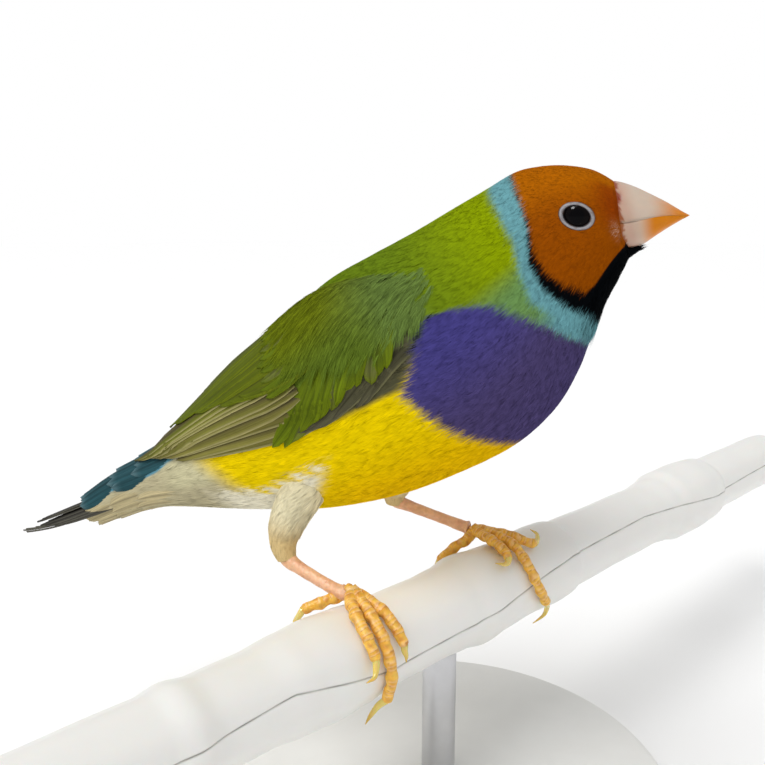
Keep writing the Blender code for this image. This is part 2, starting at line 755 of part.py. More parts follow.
def build_foot(side, leg_cutter):
    """Ball, four toes with swollen joints, and a claw on each toe."""
    plan = FEET[side]
    ball_along, ball_degrees, ball_lift = plan["ball"]
    ball_reach = perch_radius(ball_along) + JOIN_GAP + FOOT_BALL_RADIUS + ball_lift
    ball = perch_point(ball_along, ball_degrees, ball_reach)
    foot = make_ball("foot_" + side, ball, FOOT_BALL_RADIUS, 12, 8, "leg")
    toes = []
    for toe in ("middle", "inner", "outer", "hind"):
        toe_places, claw_places = plan[toe]
        steps = 3 * (len(toe_places) - 1)
        path = [(ball, TOE_RADIUS)]
        for index, (point, radius) in enumerate(toe_path(toe_places, TOE_RADIUS, steps)):
            path.append((point, radius * (1.0 + TOE_SWELL * math.cos(math.tau * index / 3))))
        toes.append(make_node("toe", loft(tube_rings(path, 8)), "leg"))
        ahead = (path[-1][0] - path[-2][0]).normalized()
        build_claw(side, toe, path[-1][0], ahead, claw_places)
    unite(foot, toes)
    cut(foot, [leg_cutter])


def build_claw(side, toe, toe_end, ahead, claw_places):
    """A curved claw that starts a gap beyond the toe's end and thins to a point."""
    rows = [(*(toe_end + ahead * JOIN_GAP), CLAW_RADIUS)]
    rows += [(*point, radius) for point, radius in toe_path(claw_places, CLAW_RADIUS, len(claw_places) - 1)]
    steps = 2 * (len(rows) - 1)
    tapered = []
    for index, (point, radius) in enumerate(smooth_path(rows, steps)):
        tapered.append((point, radius * (1.0 - CLAW_TAPER * (index / steps) ** 1.3)))
    make_node(f"claw_{side}_{toe}", loft(tube_rings(tapered, 6, start_ahead=ahead)), "claw")


def build_legs():
    """Feathered thigh, scaled tarsus and foot on each side, each cut clear of the next."""
    torso_cutter = body_cutter()
    for side, mirror in (("right", -1), ("left", 1)):
        thigh_rows = [(x, y * mirror, z, radius) for x, y, z, radius in THIGHS[side]]
        tarsus_rows = [(x, y * mirror, z, radius) for x, y, z, radius in TARSI[side]]
        tarsus_path = smooth_path(tarsus_rows, 12)
        make_node("tarsus_" + side, loft(tube_rings(tarsus_path, 10)), "leg")
        leg_cutter = make_node("leg_cutter", loft(tube_rings(tarsus_path, 10, JOIN_GAP)), "leg")
        thigh = make_node("thigh_" + side, loft(tube_rings(smooth_path(thigh_rows, 10), 14)), "thigh")
        cut(thigh, [torso_cutter, leg_cutter])
        build_foot(side, leg_cutter)
        remove([leg_cutter])
    remove([torso_cutter])


def build_perch_and_stand():
    """The perch, a round base under the grip point and the rod that joins them."""
    make_node("perch", perch_mesh(), "perch")
    base = bmesh.new()
    bmesh.ops.create_cone(
        base, cap_ends=True, segments=48, radius1=STAND_BASE_RADIUS, radius2=STAND_BASE_RADIUS,
        depth=STAND_BASE_THICKNESS,
    )
    bmesh.ops.translate(base, vec=(0, 0, STAND_BASE_THICKNESS / 2 - GRIP_HEIGHT), verts=base.verts)
    rims = [edge for edge in base.edges if len({round(v.co.z, 3) for v in edge.verts}) == 1]
    bmesh.ops.bevel(base, geom=rims, offset=STAND_BASE_BEVEL, segments=2, affect="EDGES", profile=0.5)
    make_node("stand_base", base, "stand")
    foot_z = STAND_BASE_THICKNESS + JOIN_GAP - GRIP_HEIGHT
    rod = bmesh.new()
    bmesh.ops.create_cone(
        rod, cap_ends=True, segments=24, radius1=STAND_ROD_RADIUS, radius2=STAND_ROD_RADIUS, depth=-foot_z,
    )
    bmesh.ops.translate(rod, vec=(0, 0, foot_z / 2), verts=rod.verts)
    rod_node = make_node("stand_rod", rod, "stand")
    perch_cutter = make_node("perch_cutter", perch_mesh(JOIN_GAP), "perch")
    cut(rod_node, [perch_cutter])
    remove([perch_cutter])


def main():
    clear_scene()
    build_head()
    build_eyes()
    build_bill()
    make_node("neck", body_length(NECK_STATION, TORSO_STATION), "neck")
    make_node("torso", body_length(TORSO_STATION, TAIL_STATION), "torso")
    build_tail()
    build_wings()
    build_legs()
    build_perch_and_stand()


main()
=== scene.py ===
# %% [markdown]
# This script dresses a Gouldian finch that grips a cut length of moulded perch. The packed
# solids are the frame: they fix every size and place. The looks are built over them, so the
# frame is loaded before anything else.

import json
import math

import bmesh
import bpy
import numpy as np
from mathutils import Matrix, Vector

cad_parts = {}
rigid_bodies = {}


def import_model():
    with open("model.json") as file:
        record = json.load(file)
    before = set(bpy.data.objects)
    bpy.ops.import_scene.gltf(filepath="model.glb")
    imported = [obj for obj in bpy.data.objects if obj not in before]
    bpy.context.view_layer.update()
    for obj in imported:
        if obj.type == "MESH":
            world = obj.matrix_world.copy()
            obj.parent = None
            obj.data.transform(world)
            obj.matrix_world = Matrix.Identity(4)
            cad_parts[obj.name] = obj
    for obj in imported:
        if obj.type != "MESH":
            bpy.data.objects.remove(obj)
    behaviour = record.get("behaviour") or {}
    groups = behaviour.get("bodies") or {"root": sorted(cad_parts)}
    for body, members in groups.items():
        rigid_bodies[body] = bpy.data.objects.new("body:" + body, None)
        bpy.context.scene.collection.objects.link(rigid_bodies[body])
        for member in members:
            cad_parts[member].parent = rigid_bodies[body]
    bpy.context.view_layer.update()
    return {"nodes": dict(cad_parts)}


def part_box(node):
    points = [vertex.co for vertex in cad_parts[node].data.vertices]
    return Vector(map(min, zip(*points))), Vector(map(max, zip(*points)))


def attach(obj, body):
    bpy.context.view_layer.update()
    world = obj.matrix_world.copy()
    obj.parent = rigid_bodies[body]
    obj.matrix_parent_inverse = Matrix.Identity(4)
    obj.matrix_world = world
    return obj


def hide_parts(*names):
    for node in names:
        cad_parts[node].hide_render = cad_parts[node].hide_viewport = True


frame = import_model()
print("frame nodes:", len(frame["nodes"]))

# %% [markdown]
# The solids were drawn in millimetres round the grip point, the middle of the perch between
# the feet. The same units are used here, and one helper turns them to the frame's metres.
# Draws of chance come from one seeded generator, so that the script always makes the same bird.

# %% Units and chance
MM = 0.001
GRIP_HEIGHT = 40.0
chance = np.random.default_rng(7)


def in_metres(points):
    """Millimetres round the grip point turned to metres in the model's frame."""
    return (np.asarray(points, float) + (0.0, 0.0, GRIP_HEIGHT)) * MM


def linear(red, green, blue):
    """A colour read off a screen, 0 to 255, turned to the linear values that shaders use."""
    part = np.array([red, green, blue], float) / 255
    return np.where(part <= 0.04045, part / 12.92, ((part + 0.055) / 1.055) ** 2.4)


def eased(value, start, end):
    """0 before start, 1 after end, and a smooth rise between them."""
    part = np.clip((value - start) / (end - start), 0.0, 1.0)
    return part * part * (3 - 2 * part)


def unit(vectors):
    """Vectors brought to a length of 1."""
    return vectors / np.linalg.norm(vectors, axis=-1, keepdims=True)


def travelled(points):
    """How far along a line of points each one lies, from 0 at the first."""
    steps = np.linalg.norm(np.diff(points, axis=0), axis=1)
    return np.concatenate([[0.0], np.cumsum(steps)])


print("grip point:", in_metres([0, 0, 0]))

# %% [markdown]
# A small bird's body is one smooth form from bill to rump. It is described by stations, each
# an ellipse-like section between a point on the back and a point on the belly. Every place on
# the plumage is then a station, an angle round from the back, and a height over the body.
# Angles above 0 are on the right side. This is easier to reason about than free points, and
# feathers and markings can share it.

# %% The body's stations
# Each row: back x, back z, belly x, belly z, half width
STATIONS = np.array([
    (25.9, 73.7, 29.3, 63.5, 4.9),
    (22.6, 75.4, 28.1, 60.8, 7.2),
    (18.2, 76.1, 26.6, 57.6, 8.5),
    (14.2, 75.9, 25.4, 54.9, 8.9),
    (10.9, 75.1, 24.6, 52.2, 9.3),
    (6.6, 72.6, 23.4, 48.4, 10.5),
    (1.5, 69.7, 21.9, 43.9, 12.2),
    (-5.0, 65.9, 18.7, 37.9, 14.1),
    (-12.0, 62.2, 12.8, 31.8, 15.3),
    (-20.0, 57.6, 3.8, 26.4, 15.5),
    (-28.0, 50.0, -6.2, 21.8, 14.8),
    (-36.0, 43.0, -19.0, 18.2, 12.6),
    (-43.0, 36.0, -33.0, 16.6, 9.8),
    (-50.0, 29.4, -43.5, 16.0, 7.6),
    (-57.0, 24.4, -52.5, 15.1, 5.8),
    (-64.0, 20.0, -60.5, 12.4, 4.4),
    (-70.5, 14.9, -67.0, 9.9, 2.8),
])
LAST_STATION = len(STATIONS) - 1
BODY_ROUNDNESS = 2.2


def smooth_rows(rows, place):
    """Catmull-Rom reading of a table of rows at fractional row numbers."""
    rows = np.asarray(rows, float)
    place = np.clip(place, 0.0, len(rows) - 1.0)
    index = np.minimum(place.astype(int), len(rows) - 2)
    part = (place - index)[..., None]
    before, here, after, beyond = (rows[np.clip(index + step, 0, len(rows) - 1)] for step in (-1, 0, 1, 2))
    bend = (2 * before - 5 * here + 4 * after - beyond) * part ** 2
    twist = (3 * here - 3 * after + beyond - before) * part ** 3
    return 0.5 * (2 * here + (after - before) * part + bend + twist)


def body_point(station, degrees, lift=0.0):
    """Points on the body, or lifted off it, in millimetres round the grip point."""
    station, degrees, lift = np.broadcast_arrays(np.asarray(station, float), degrees, lift)
    back_x, back_z, belly_x, belly_z, half_width = np.moveaxis(smooth_rows(STATIONS, station), -1, 0)
    half_x, half_z = (back_x - belly_x) / 2, (back_z - belly_z) / 2
    half_depth = np.hypot(half_x, half_z)
    cosine, sine = np.cos(np.radians(degrees)), np.sin(np.radians(degrees))
    up = np.sign(cosine) * np.abs(cosine) ** (2 / BODY_ROUNDNESS) * (half_depth + lift) / half_depth
    side = np.sign(sine) * np.abs(sine) ** (2 / BODY_ROUNDNESS) * (half_width + lift)
    return np.stack([(back_x + belly_x) / 2 + half_x * up, -side, (back_z + belly_z) / 2 + half_z * up], -1)


girth = travelled(body_point(9.0, np.linspace(-180, 180, 361)))[-1]
print("girth at the middle of the body:", round(float(girth), 1), "mm")

# %% [markdown]
# The folded wing lies on the body like a shallow shield. Its upper and lower edges are lines
# of station and angle. The skin under the wing rises a little, as the arm does, and everywhere
# else it lies sunk under the plumage by the depth of the coat.

# %% The skin's height
# The wing's edges: rows of station and angle
WING_TOP_EDGE = np.array([(7.2, 50.0), (8.4, 27.0), (9.7, 9.0), (11.0, 2.5), (12.4, 2.5), (13.6, 20.0)])
WING_LOW_EDGE = np.array([(7.5, 76.0), (8.55, 90.0), (9.7, 87.0), (10.9, 80.0), (12.2, 70.0), (13.6, 44.0)])
WING_FRONT, WING_END = 7.25, 13.6
# Over how many degrees, then stations, the wing's rise eases in at each edge
TOP_EASE, LOW_EASE = 16.0, 5.0
FRONT_EASE, END_EASE = 0.9, 0.8
WING_RAISE = 1.0
COAT_DEPTH_STATIONS = (0.0, 1.0, 3.0, 5.0, 7.0, 13.0, 16.0)
COAT_DEPTHS = (0.08, 0.1, 0.13, 0.2, 0.27, 0.25, 0.2)


def read_line(line, place):
    """A line of points read at any place along it."""
    return np.interp(place, line[:, 0], line[:, 1])


def wing_cover(station, degrees):
    """1 under the folded wing and 0 away from it, eased over its edges."""
    around = np.abs(degrees)
    from_top = (around - read_line(WING_TOP_EDGE, station)) / TOP_EASE
    from_low = (read_line(WING_LOW_EDGE, station) - around) / LOW_EASE
    along = np.minimum((station - WING_FRONT) / FRONT_EASE, (WING_END - station) / END_EASE)
    return eased(np.minimum(np.minimum(from_top, from_low), along), 0.0, 1.0)


def coat_depth(station):
    """How deep the coat is, in millimetres."""
    return np.interp(station, COAT_DEPTH_STATIONS, COAT_DEPTHS)


EYE_CENTRE = np.array((21.0, 5.85, 68.35))
EYE_TILT = -20.0
RIM_HALF_LENGTH, RIM_HALF_HEIGHT = 2.75, 2.02
EYE_HOLLOW = 1.3
HOLLOW_FLOOR, HOLLOW_RIM = 0.64, 0.96
# Where the face's feathers end at the bill: rows of height and x
FACE_EDGE = np.array([
    (62.0, 29.6), (63.5, 28.5), (65.0, 27.6), (67.5, 27.1), (70.0, 26.6), (73.0, 26.0), (76.0, 25.8),
])
FACE_EASE = (-0.15, 0.35)
BILL_SEAT = 1.1


def ahead_of_face(points):
    """1 where the bill's base covers the face, and 0 behind the edge of the feathers."""
    edge = read_line(FACE_EDGE, points[..., 2])
    return eased(points[..., 0], edge + FACE_EASE[0], edge + FACE_EASE[1])


def from_eye(points):
    """How far points lie from the eyes' axis, where 1 is the outer edge of the bare rim."""
    tilt = math.radians(EYE_TILT)
    x, z = points[..., 0] - EYE_CENTRE[0], points[..., 2] - EYE_CENTRE[2]
    forward = x * math.cos(tilt) + z * math.sin(tilt)
    up = z * math.cos(tilt) - x * math.sin(tilt)
    return np.hypot(forward / RIM_HALF_LENGTH, up / RIM_HALF_HEIGHT)


def skin_point(station, degrees, height=0.0):
    """Points on the skin, or a height over it."""
    bare = body_point(station, degrees)
    hollow = EYE_HOLLOW * (1 - eased(from_eye(bare), HOLLOW_FLOOR, HOLLOW_RIM))
    lift = height - coat_depth(station) + WING_RAISE * wing_cover(station, degrees) - hollow
    return body_point(station, degrees, lift - BILL_SEAT * ahead_of_face(bare))


print("skin under the wing:", round(float(wing_cover(9.5, 50.0) * WING_RAISE - coat_depth(9.5)), 2), "mm")

# %% [markdown]
# A Gouldian finch is painted in blocks with crisp but feathery edges: an orange mask, a black
# border that widens to a bib, a turquoise collar, a purple breast, a yellow belly, a green back
# and a pale vent. Each edge is a short line of angles and stations, and the skin and the coat
# both take their colour from the same function, so the two can never disagree.

# %% The markings
# Lines round the body: rows of angle and the station where the line runs there
MASK_REAR = np.array([
    (0, 4.1), (26, 4.13), (52, 4.18), (71, 4.34), (85, 4.68), (96, 4.7), (116, 4.28), (138, 3.6),
])
BORDER_REAR = np.array([
    (0, 4.16), (26, 4.19), (52, 4.25), (71, 4.44), (80, 4.72), (87, 4.98), (100, 5.05), (122, 4.72),
    (140, 4.3), (160, 4.1), (180, 4.05),
])
COLLAR_REAR = np.array([
    (0, 4.85), (21, 4.95), (51, 4.98), (74, 5.05), (86, 5.35), (99, 5.6), (122, 5.25), (145, 4.98),
    (180, 4.8),
])
BREAST_FRONT = np.array([
    (68, 8.0), (75, 7.5), (79, 7.0), (88, 6.43), (101, 6.05), (119, 5.6), (150, 5.08), (180, 4.93),
])
BREAST_REAR = np.array([
    (68, 7.3), (75, 7.6), (82, 7.98), (90, 8.32), (96, 8.66), (108, 8.58), (124, 8.43), (140, 8.2),
    (156, 8.0), (180, 7.9),
])
# Lines along the body: rows of station and the angle where the line runs there
BIB_TOP = np.array([(0, 137), (0.65, 132), (1.43, 131), (2.73, 134), (3.62, 130), (4.3, 112)])
FLUFF_EDGE = np.array([(9.0, 113), (10.4, 110), (10.75, 111), (11.45, 119), (12.3, 114), (13.0, 100)])
GREEN_LOW = np.array([
    (4.0, 99), (7.2, 76), (7.6, 80), (8.03, 85), (8.35, 90), (8.62, 94), (9.2, 93), (9.7, 91), (10.3, 88),
    (10.9, 81), (12.3, 66), (12.88, 66), (13.35, 74), (13.98, 78), (14.6, 76), (15.2, 68), (15.9, 56),
])
# How many stations further forward the white fluff starts on the left, whose leg is set forward
LEFT_FLUFF = 1.1
print("the mask ends at station", MASK_REAR[0, 1], "on the crown and", MASK_REAR[5, 1], "on the cheek")

# %% The plumage's colours
# The crown's orange is more golden than the cheeks' and is also painted lighter: partly painted light from
# above
ORANGE_LIT_CROWN = linear(174, 96, 0)
ORANGE_CHEEK = linear(148, 73, 0)
RED_LORES = linear(136, 49, 2)
GAPE_FLECK = linear(226, 204, 184)
BIB_BLACK = linear(4, 6, 9)
TURQUOISE = linear(105, 160, 168)
LIME_NAPE = linear(136, 156, 0)
MANTLE_GREEN = linear(100, 124, 20)
NECK_GREEN = linear(106, 145, 81)
SHOULDER_GREEN = linear(103, 127, 59)
WING_OLIVE = linear(108, 120, 17)
COVERT_GREEN = linear(93, 114, 34)
BREAST_PURPLE = linear(75, 65, 109)
BREAST_BLUE = linear(68, 63, 130)
BELLY_YELLOW = linear(238, 207, 0)
# The lower side of the belly is painted a darker yellow: painted shade
BELLY_PAINTED_SHADE = linear(233, 186, 0)
VENT_CREAM = linear(187, 178, 144)
FLANK_GREY = linear(202, 196, 158)
FLUFF_WHITE = linear(238, 232, 208)
RUMP_BLUE = linear(88, 141, 159)
PATCH_BROWN = linear(90, 88, 64)
print("purple and yellow in linear values:", BREAST_PURPLE.round(3), BELLY_YELLOW.round(3))


# %% Colour at any place
def mixed(colour, other, amount):
    """The first colour giving way to the other by the amount at each point."""
    return colour * (1 - amount[..., None]) + other * amount[..., None]


def wing_colour(station, degrees):
    """The green of the folded wing: bluish at the shoulder, olive along the back, brighter below."""
    around = np.abs(degrees)
    colour = mixed(SHOULDER_GREEN, WING_OLIVE, eased(station - around * 0.012, 7.2, 8.6))
    return mixed(colour, COVERT_GREEN, eased(around, 45, 75) * eased(station, 8.0, 8.8))


def back_colour(station, degrees):
    """Nape, mantle and rump, with the folded wing over them and a brown patch below its front."""
    around = np.abs(degrees)
    back = mixed(LIME_NAPE, MANTLE_GREEN, eased(station, 5.4, 7.9))
    back = mixed(back, RUMP_BLUE, eased(station, 11.0, 12.2))
    back = mixed(back, wing_colour(station, degrees), wing_cover(station, degrees))
    low = read_line(GREEN_LOW, station)
    brown = eased(station, 7.7, 8.1) * (1 - eased(station, 9.9, 10.2)) * eased(around, low - 12, low - 9)
    return mixed(back, PATCH_BROWN, brown)


def belly_colour(station, degrees):
    """Yellow with painted shade on its lower side, paling to the vent, with white fluff round the thighs."""
    around = np.abs(degrees)
    belly = mixed(BELLY_YELLOW, BELLY_PAINTED_SHADE, eased(around, 100, 150) * (1 - eased(station, 10.0, 11.5)))
    grey = eased(station, 11.8, 12.3) * (1 - eased(station, 12.9, 13.5)) * (1 - eased(around, 96, 112))
    vent = mixed(VENT_CREAM, FLANK_GREY, grey)
    belly = mixed(belly, vent, eased(station + (around - 100) * 0.012, 11.7, 12.3))
    edge = read_line(FLUFF_EDGE, station) + 5 * np.sin(station * 19 + around * 0.35)
    front = 10.3 + (around - 112) * 0.022 - LEFT_FLUFF * (degrees < 0) * (1 - eased(around, 130, 175))
    fluffy = eased(around, edge - 3, edge + 3) * eased(station, front, front + 0.2)
    return mixed(belly, FLUFF_WHITE, fluffy * (1 - eased(station, 11.9, 12.6)))


def mask_colour(station, around):
    """Orange, more golden and lighter on the crown than on the cheeks, partly as painted light from above,
    redder before the eye, with pale flecks behind the gape.
    """
    mask = mixed(ORANGE_LIT_CROWN, ORANGE_CHEEK, eased(around, 40, 80))
    lores = (1 - eased(station, 0.5, 1.7)) * eased(around, 35, 55) * (1 - eased(around, 85, 105))
    mask = mixed(mask, RED_LORES, lores * 0.7)
    ripple = np.sin(around * 1.7 + station * 9) * np.sin(station * 41 - around * 0.6)
    fleck = np.exp(-((station - 0.8) / 0.2) ** 2 - ((around - 106) / 9.0) ** 2) * eased(ripple, -0.2, 0.6)
    return mixed(mask, GAPE_FLECK, fleck * 0.55)


def body_colour(station, degrees):
    """Plumage colour at places on the body: later blocks are laid over earlier ones."""
    around = np.abs(degrees)
    breast_front, breast_rear = read_line(BREAST_FRONT, around), read_line(BREAST_REAR, around)
    collar, border, mask = (read_line(line, around) for line in (COLLAR_REAR, BORDER_REAR, MASK_REAR))
    low = read_line(GREEN_LOW, station)
    below = eased(around, low - 1.5, low + 1.5) * eased(station, 7.3, 7.6)
    colour = mixed(back_colour(station, degrees), belly_colour(station, degrees), below)
    colour = mixed(colour, NECK_GREEN, eased(around, 78, 92) * (1 - eased(station, 7.0, 7.6)))
    inside = eased(station, breast_front - 0.06, breast_front + 0.06)
    inside *= 1 - eased(station, breast_rear - 0.04, breast_rear + 0.04)
    purple = mixed(BREAST_BLUE, BREAST_PURPLE, eased(around, 80, 125))
    colour = mixed(colour, purple, inside * eased(around, 68, 72))
    ahead = 1 - eased(station, collar - 0.1, collar + 0.1)
    under = eased(around, 104, 122) * (1 - eased(station, breast_front - 0.06, breast_front + 0.02))
    colour = mixed(colour, TURQUOISE, np.maximum(ahead, under))
    colour = mixed(colour, BIB_BLACK, 1 - eased(station, border - 0.03, border + 0.03))
    bib = read_line(BIB_TOP, station)
    masked = (1 - eased(station, mask - 0.03, mask + 0.02)) * (1 - eased(around, bib - 1.2, bib + 1.2))
    return mixed(colour, mask_colour(station, around), masked)


print("breast colour:", body_colour(np.array([7.0]), np.array([130.0])).round(3))

# %% [markdown]
# A bmesh grid laid on rows of points makes any smooth surface here: the skin, the bill, toes,
# claws and the perch. The grid's side seam is merged and its ends are filled, so each piece is
# one closed surface. Its colour goes on the points as an attribute, before the seam is merged.

# %% Surfaces from a grid
PAINT = "paint"
BAKE_MAP = "OFBake"
# Points closer than this are one
MERGE = 1e-6


def laid_grid(bundle, points, paint, places):
    """Lay a new grid of the bmesh on rows of points, with each point's colour and map place."""
    rows, columns = points.shape[:2]
    bmesh_paint = bundle.verts.layers.float_color.get(PAINT) or bundle.verts.layers.float_color.new(PAINT)
    bmesh_map = bundle.loops.layers.uv.get(BAKE_MAP) or bundle.loops.layers.uv.new(BAKE_MAP)
    made = bmesh.ops.create_grid(bundle, x_segments=columns - 1, y_segments=rows - 1, size=1.0)["verts"]
    ordered = sorted(made, key=lambda vertex: (round(vertex.co.y, 6), round(vertex.co.x, 6)))
    flat_paint = np.broadcast_to(paint, points.shape).reshape(-1, 3)
    flat_places = places.reshape(-1, 2)
    place_of = {}
    for number, vertex in enumerate(ordered):
        vertex.co = points[number // columns, number % columns]
        vertex[bmesh_paint] = (*flat_paint[number], 1.0)
        place_of[vertex] = flat_places[number]
    faces = {face for vertex in made for face in vertex.link_faces}
    for face in faces:
        for corner in face.loops:
            corner[bmesh_map].uv = place_of[corner.vert]


def closed_up(bundle):
    """Merge the seams, fill the open ends, split the fills into fans and turn faces outward."""
    bmesh.ops.remove_doubles(bundle, verts=bundle.verts, dist=MERGE)
    filled = bmesh.ops.holes_fill(bundle, edges=bundle.edges, sides=0)["faces"]
    bmesh.ops.poke(bundle, faces=filled)
    bmesh.ops.recalc_face_normals(bundle, faces=bundle.faces)


def adopt(name, data, material, stands_for=()):
    """Make a mesh a piece of the model, with its finish, its body and the nodes that it stands for."""
    data.materials.append(material)
    piece = bpy.data.objects.new(name, data)
    bpy.context.scene.collection.objects.link(piece)
    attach(piece, "root")
    if stands_for:
        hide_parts(*stands_for)
    print(name, len(data.polygons), "faces")


def new_piece(name, bundle, material, stands_for=()):
    """Turn a bmesh into a smooth-shaded piece of the model."""
    data = bpy.data.meshes.new(name)
    bundle.to_mesh(data)
    bundle.free()
    for polygon in data.polygons:
        polygon.use_smooth = True
    adopt(name, data, material, stands_for)


def map_places(rows, columns, low=(0.0, 0.0), high=(1.0, 1.0)):
    """Even places on the bake map for a grid of points."""
    across, along = np.meshgrid(np.linspace(low[0], high[0], columns), np.linspace(low[1], high[1], rows))
    return np.stack([across, along], -1)


def rows_and_columns(rows, columns):
    """Two arrays that give each point of a grid its row's value and its column's value."""
    return np.meshgrid(rows, columns, indexing="ij")


print("a map's corners:", map_places(2, 2).reshape(-1, 2).tolist())

# %% [markdown]
# Every finish is a Principled shader that reads the painted colour, varies it with fine noise
# and roughens it with a bump. Numbers that are the same all over, such as sheen or coat, are set
# straight on the shader's sockets. The noise reads Object coordinates, so it stays on the model.

# %% Finishes
def finish(name, roughness, grain, variation, bump, sockets=()):
    """A Principled finish over the painted colour, with grain per metre and bump in metres."""
    material = bpy.data.materials.new(name)
    material.use_nodes = True
    nodes, links = material.node_tree.nodes, material.node_tree.links
    shader = nodes["Principled BSDF"]
    paint = nodes.new("ShaderNodeAttribute")
    paint.attribute_name = PAINT
    where = nodes.new("ShaderNodeTexCoord")
    noise = nodes.new("ShaderNodeTexNoise")
    noise.inputs["Scale"].default_value = grain
    noise.inputs["Detail"].default_value = 3.0
    links.new(where.outputs["Object"], noise.inputs["Vector"])
    vary = nodes.new("ShaderNodeMapRange")
    vary.inputs["To Min"].default_value = 1.0 - variation
    vary.inputs["To Max"].default_value = 1.0 + variation
    links.new(noise.outputs["Fac"], vary.inputs["Value"])
    tint = nodes.new("ShaderNodeVectorMath")
    tint.operation = "SCALE"
    links.new(paint.outputs["Color"], tint.inputs[0])
    links.new(vary.outputs["Result"], tint.inputs["Scale"])
    links.new(tint.outputs["Vector"], shader.inputs["Base Color"])
    relief = nodes.new("ShaderNodeBump")
    relief.inputs["Strength"].default_value = 1.0
    relief.inputs["Distance"].default_value = bump
    links.new(noise.outputs["Fac"], relief.inputs["Height"])
    links.new(relief.outputs["Normal"], shader.inputs["Normal"])
    shader.inputs["Roughness"].default_value = roughness
    for socket, value in sockets:
        shader.inputs[socket].default_value = value
    return material


feather_finish = finish("plumage", 0.85, 900.0, 0.06, 0.00001, (("Specular IOR Level", 0.02),))
skin_finish = finish("under_down", 0.9, 1500.0, 0.2, 0.00008, (("Specular IOR Level", 0.03),))
print("finishes so far:", [material.name for material in bpy.data.materials if material.users])

# %% [markdown]
# Under the feathers lies one skin, from the bill's base to the tail, with the two feathered
# thighs rising out of it. It is nearly hidden, but it closes the gaps between feathers with the
# right colour. The thigh is a tube that thins to the ankle.

# %% The skin
# Rows down each thigh: x, distance outward, z and radius
THIGHS = {
    "right": ((-18.6, 2.6, 30.0, 4.2), (-21.7, 8.8, 23.4, 3.8), (-23.4, 12.0, 19.0, 3.1),
              (-24.1, 12.9, 15.4, 2.45), (-23.4, 13.1, 12.6, 1.75)),
    "left": ((-8.4, 2.6, 30.0, 4.2), (-10.0, 8.8, 23.4, 3.9), (-11.0, 12.0, 19.6, 3.2),
             (-11.7, 13.2, 16.8, 2.5), (-11.9, 13.6, 14.6, 1.75)),
}
# Angles are positive on the bird's right, and y is positive on its left
SIDES = {"right": 1, "left": -1}
THIGH_COAT = 0.25
THIGH_MAP_LOW = {"right": 0.0, "left": 0.52}
THIGH_MAP_BASE, THIGH_MAP_WIDTH = 0.88, 0.48
SKIN_END = 15.7
SKIN_ROWS, SKIN_COLUMNS = 158, 121
THIGH_ROWS, THIGH_COLUMNS = 24, 25
THIGH_WHITE = linear(239, 229, 192)
THIGH_CREAM = linear(230, 202, 144)
BODY_MAP_TOP = 0.86
SKIN_SHADE = 0.94


def tube_frames(path):
    """Side and up directions along a path of points."""
    sides, ups = [], []
    side = np.array((0.0, 1.0, 0.0))
    for direction in unit(np.gradient(path, axis=0)):
        side = unit(side - direction * side.dot(direction))
        sides.append(side)
        ups.append(np.cross(direction, side))
    return np.array(sides), np.array(ups)


def thigh_point(side, along, degrees, height=0.0):
    """Points on a thigh: along from 0 at its root to 1 at the ankle, and an angle round it."""
    along, degrees, height = np.broadcast_arrays(np.asarray(along, float), degrees, height)
    rows = np.array(THIGHS[side]) * (1.0, -SIDES[side], 1.0, 1.0)
    fine = np.linspace(0.0, 1.0, 41)
    path = smooth_rows(rows, fine * (len(rows) - 1))
    across, up = tube_frames(path[:, :3])
    read = np.stack([np.interp(along, fine, column) for column in np.hstack([path, across, up]).T], -1)
    turn = np.radians(degrees)[..., None]
    radius = (read[..., 3] - THIGH_COAT + height)[..., None]
    return read[..., :3] + (read[..., 4:7] * np.cos(turn) + read[..., 7:10] * np.sin(turn)) * radius


def thigh_colour(along, degrees):
    """Yellow where the belly's feathers run over it, then white, then cream."""
    start = 0.15 - 0.1 * np.sin(np.radians(degrees))
    white = mixed(BELLY_YELLOW, THIGH_WHITE, eased(along, start - 0.03, start + 0.05))
    return mixed(white, THIGH_CREAM, eased(along, 0.45, 0.75))


skin = bmesh.new()
rings = np.linspace(0.0, SKIN_END, SKIN_ROWS)
station, degrees = rows_and_columns(rings, np.linspace(-180, 180, SKIN_COLUMNS))
places = map_places(SKIN_ROWS, SKIN_COLUMNS, high=(1.0, BODY_MAP_TOP))
laid_grid(skin, in_metres(skin_point(station, degrees)), body_colour(station, degrees) * SKIN_SHADE, places)
rings = np.linspace(0.0, 1.0, THIGH_ROWS)
share, turn = rows_and_columns(rings, np.linspace(0, 360, THIGH_COLUMNS))
for side, low in THIGH_MAP_LOW.items():
    places = map_places(THIGH_ROWS, THIGH_COLUMNS, (low, THIGH_MAP_BASE), (low + THIGH_MAP_WIDTH, 1.0))
    laid_grid(skin, in_metres(thigh_point(side, share, turn)), thigh_colour(share, turn) * SKIN_SHADE, places)
closed_up(skin)
FLESH = ("head", "neck", "torso", "tail", "thigh_right", "thigh_left")
new_piece("skin", skin, skin_finish, FLESH)

# %% [markdown]
# Each small feather is a fan of slender barbs that spring from one root, as on a real contour
# feather. One barb is made once with bmesh: a three-sided spike, cut across its middle so that
# it can widen and bend there. Thousands of copies are then placed in one go with arrays, because
# a loop of bmesh calls would take many minutes.

# %% One barb
BARB_MIDDLE = 0.55
BARB_MIDDLE_WIDTH = 1.0
BARB_ROOT_WIDTH = 0.55


def template(bundle):
    """A bmesh as arrays: points, corners of all faces in a row, and where each face starts."""
    bundle.verts.ensure_lookup_table()
    points = np.array([vertex.co[:] for vertex in bundle.verts])
    corners, starts = [], []
    for face in bundle.faces:
        starts.append(len(corners))
        corners.extend(vertex.index for vertex in face.verts)
    bundle.free()
    return points, np.array(corners), np.array(starts)


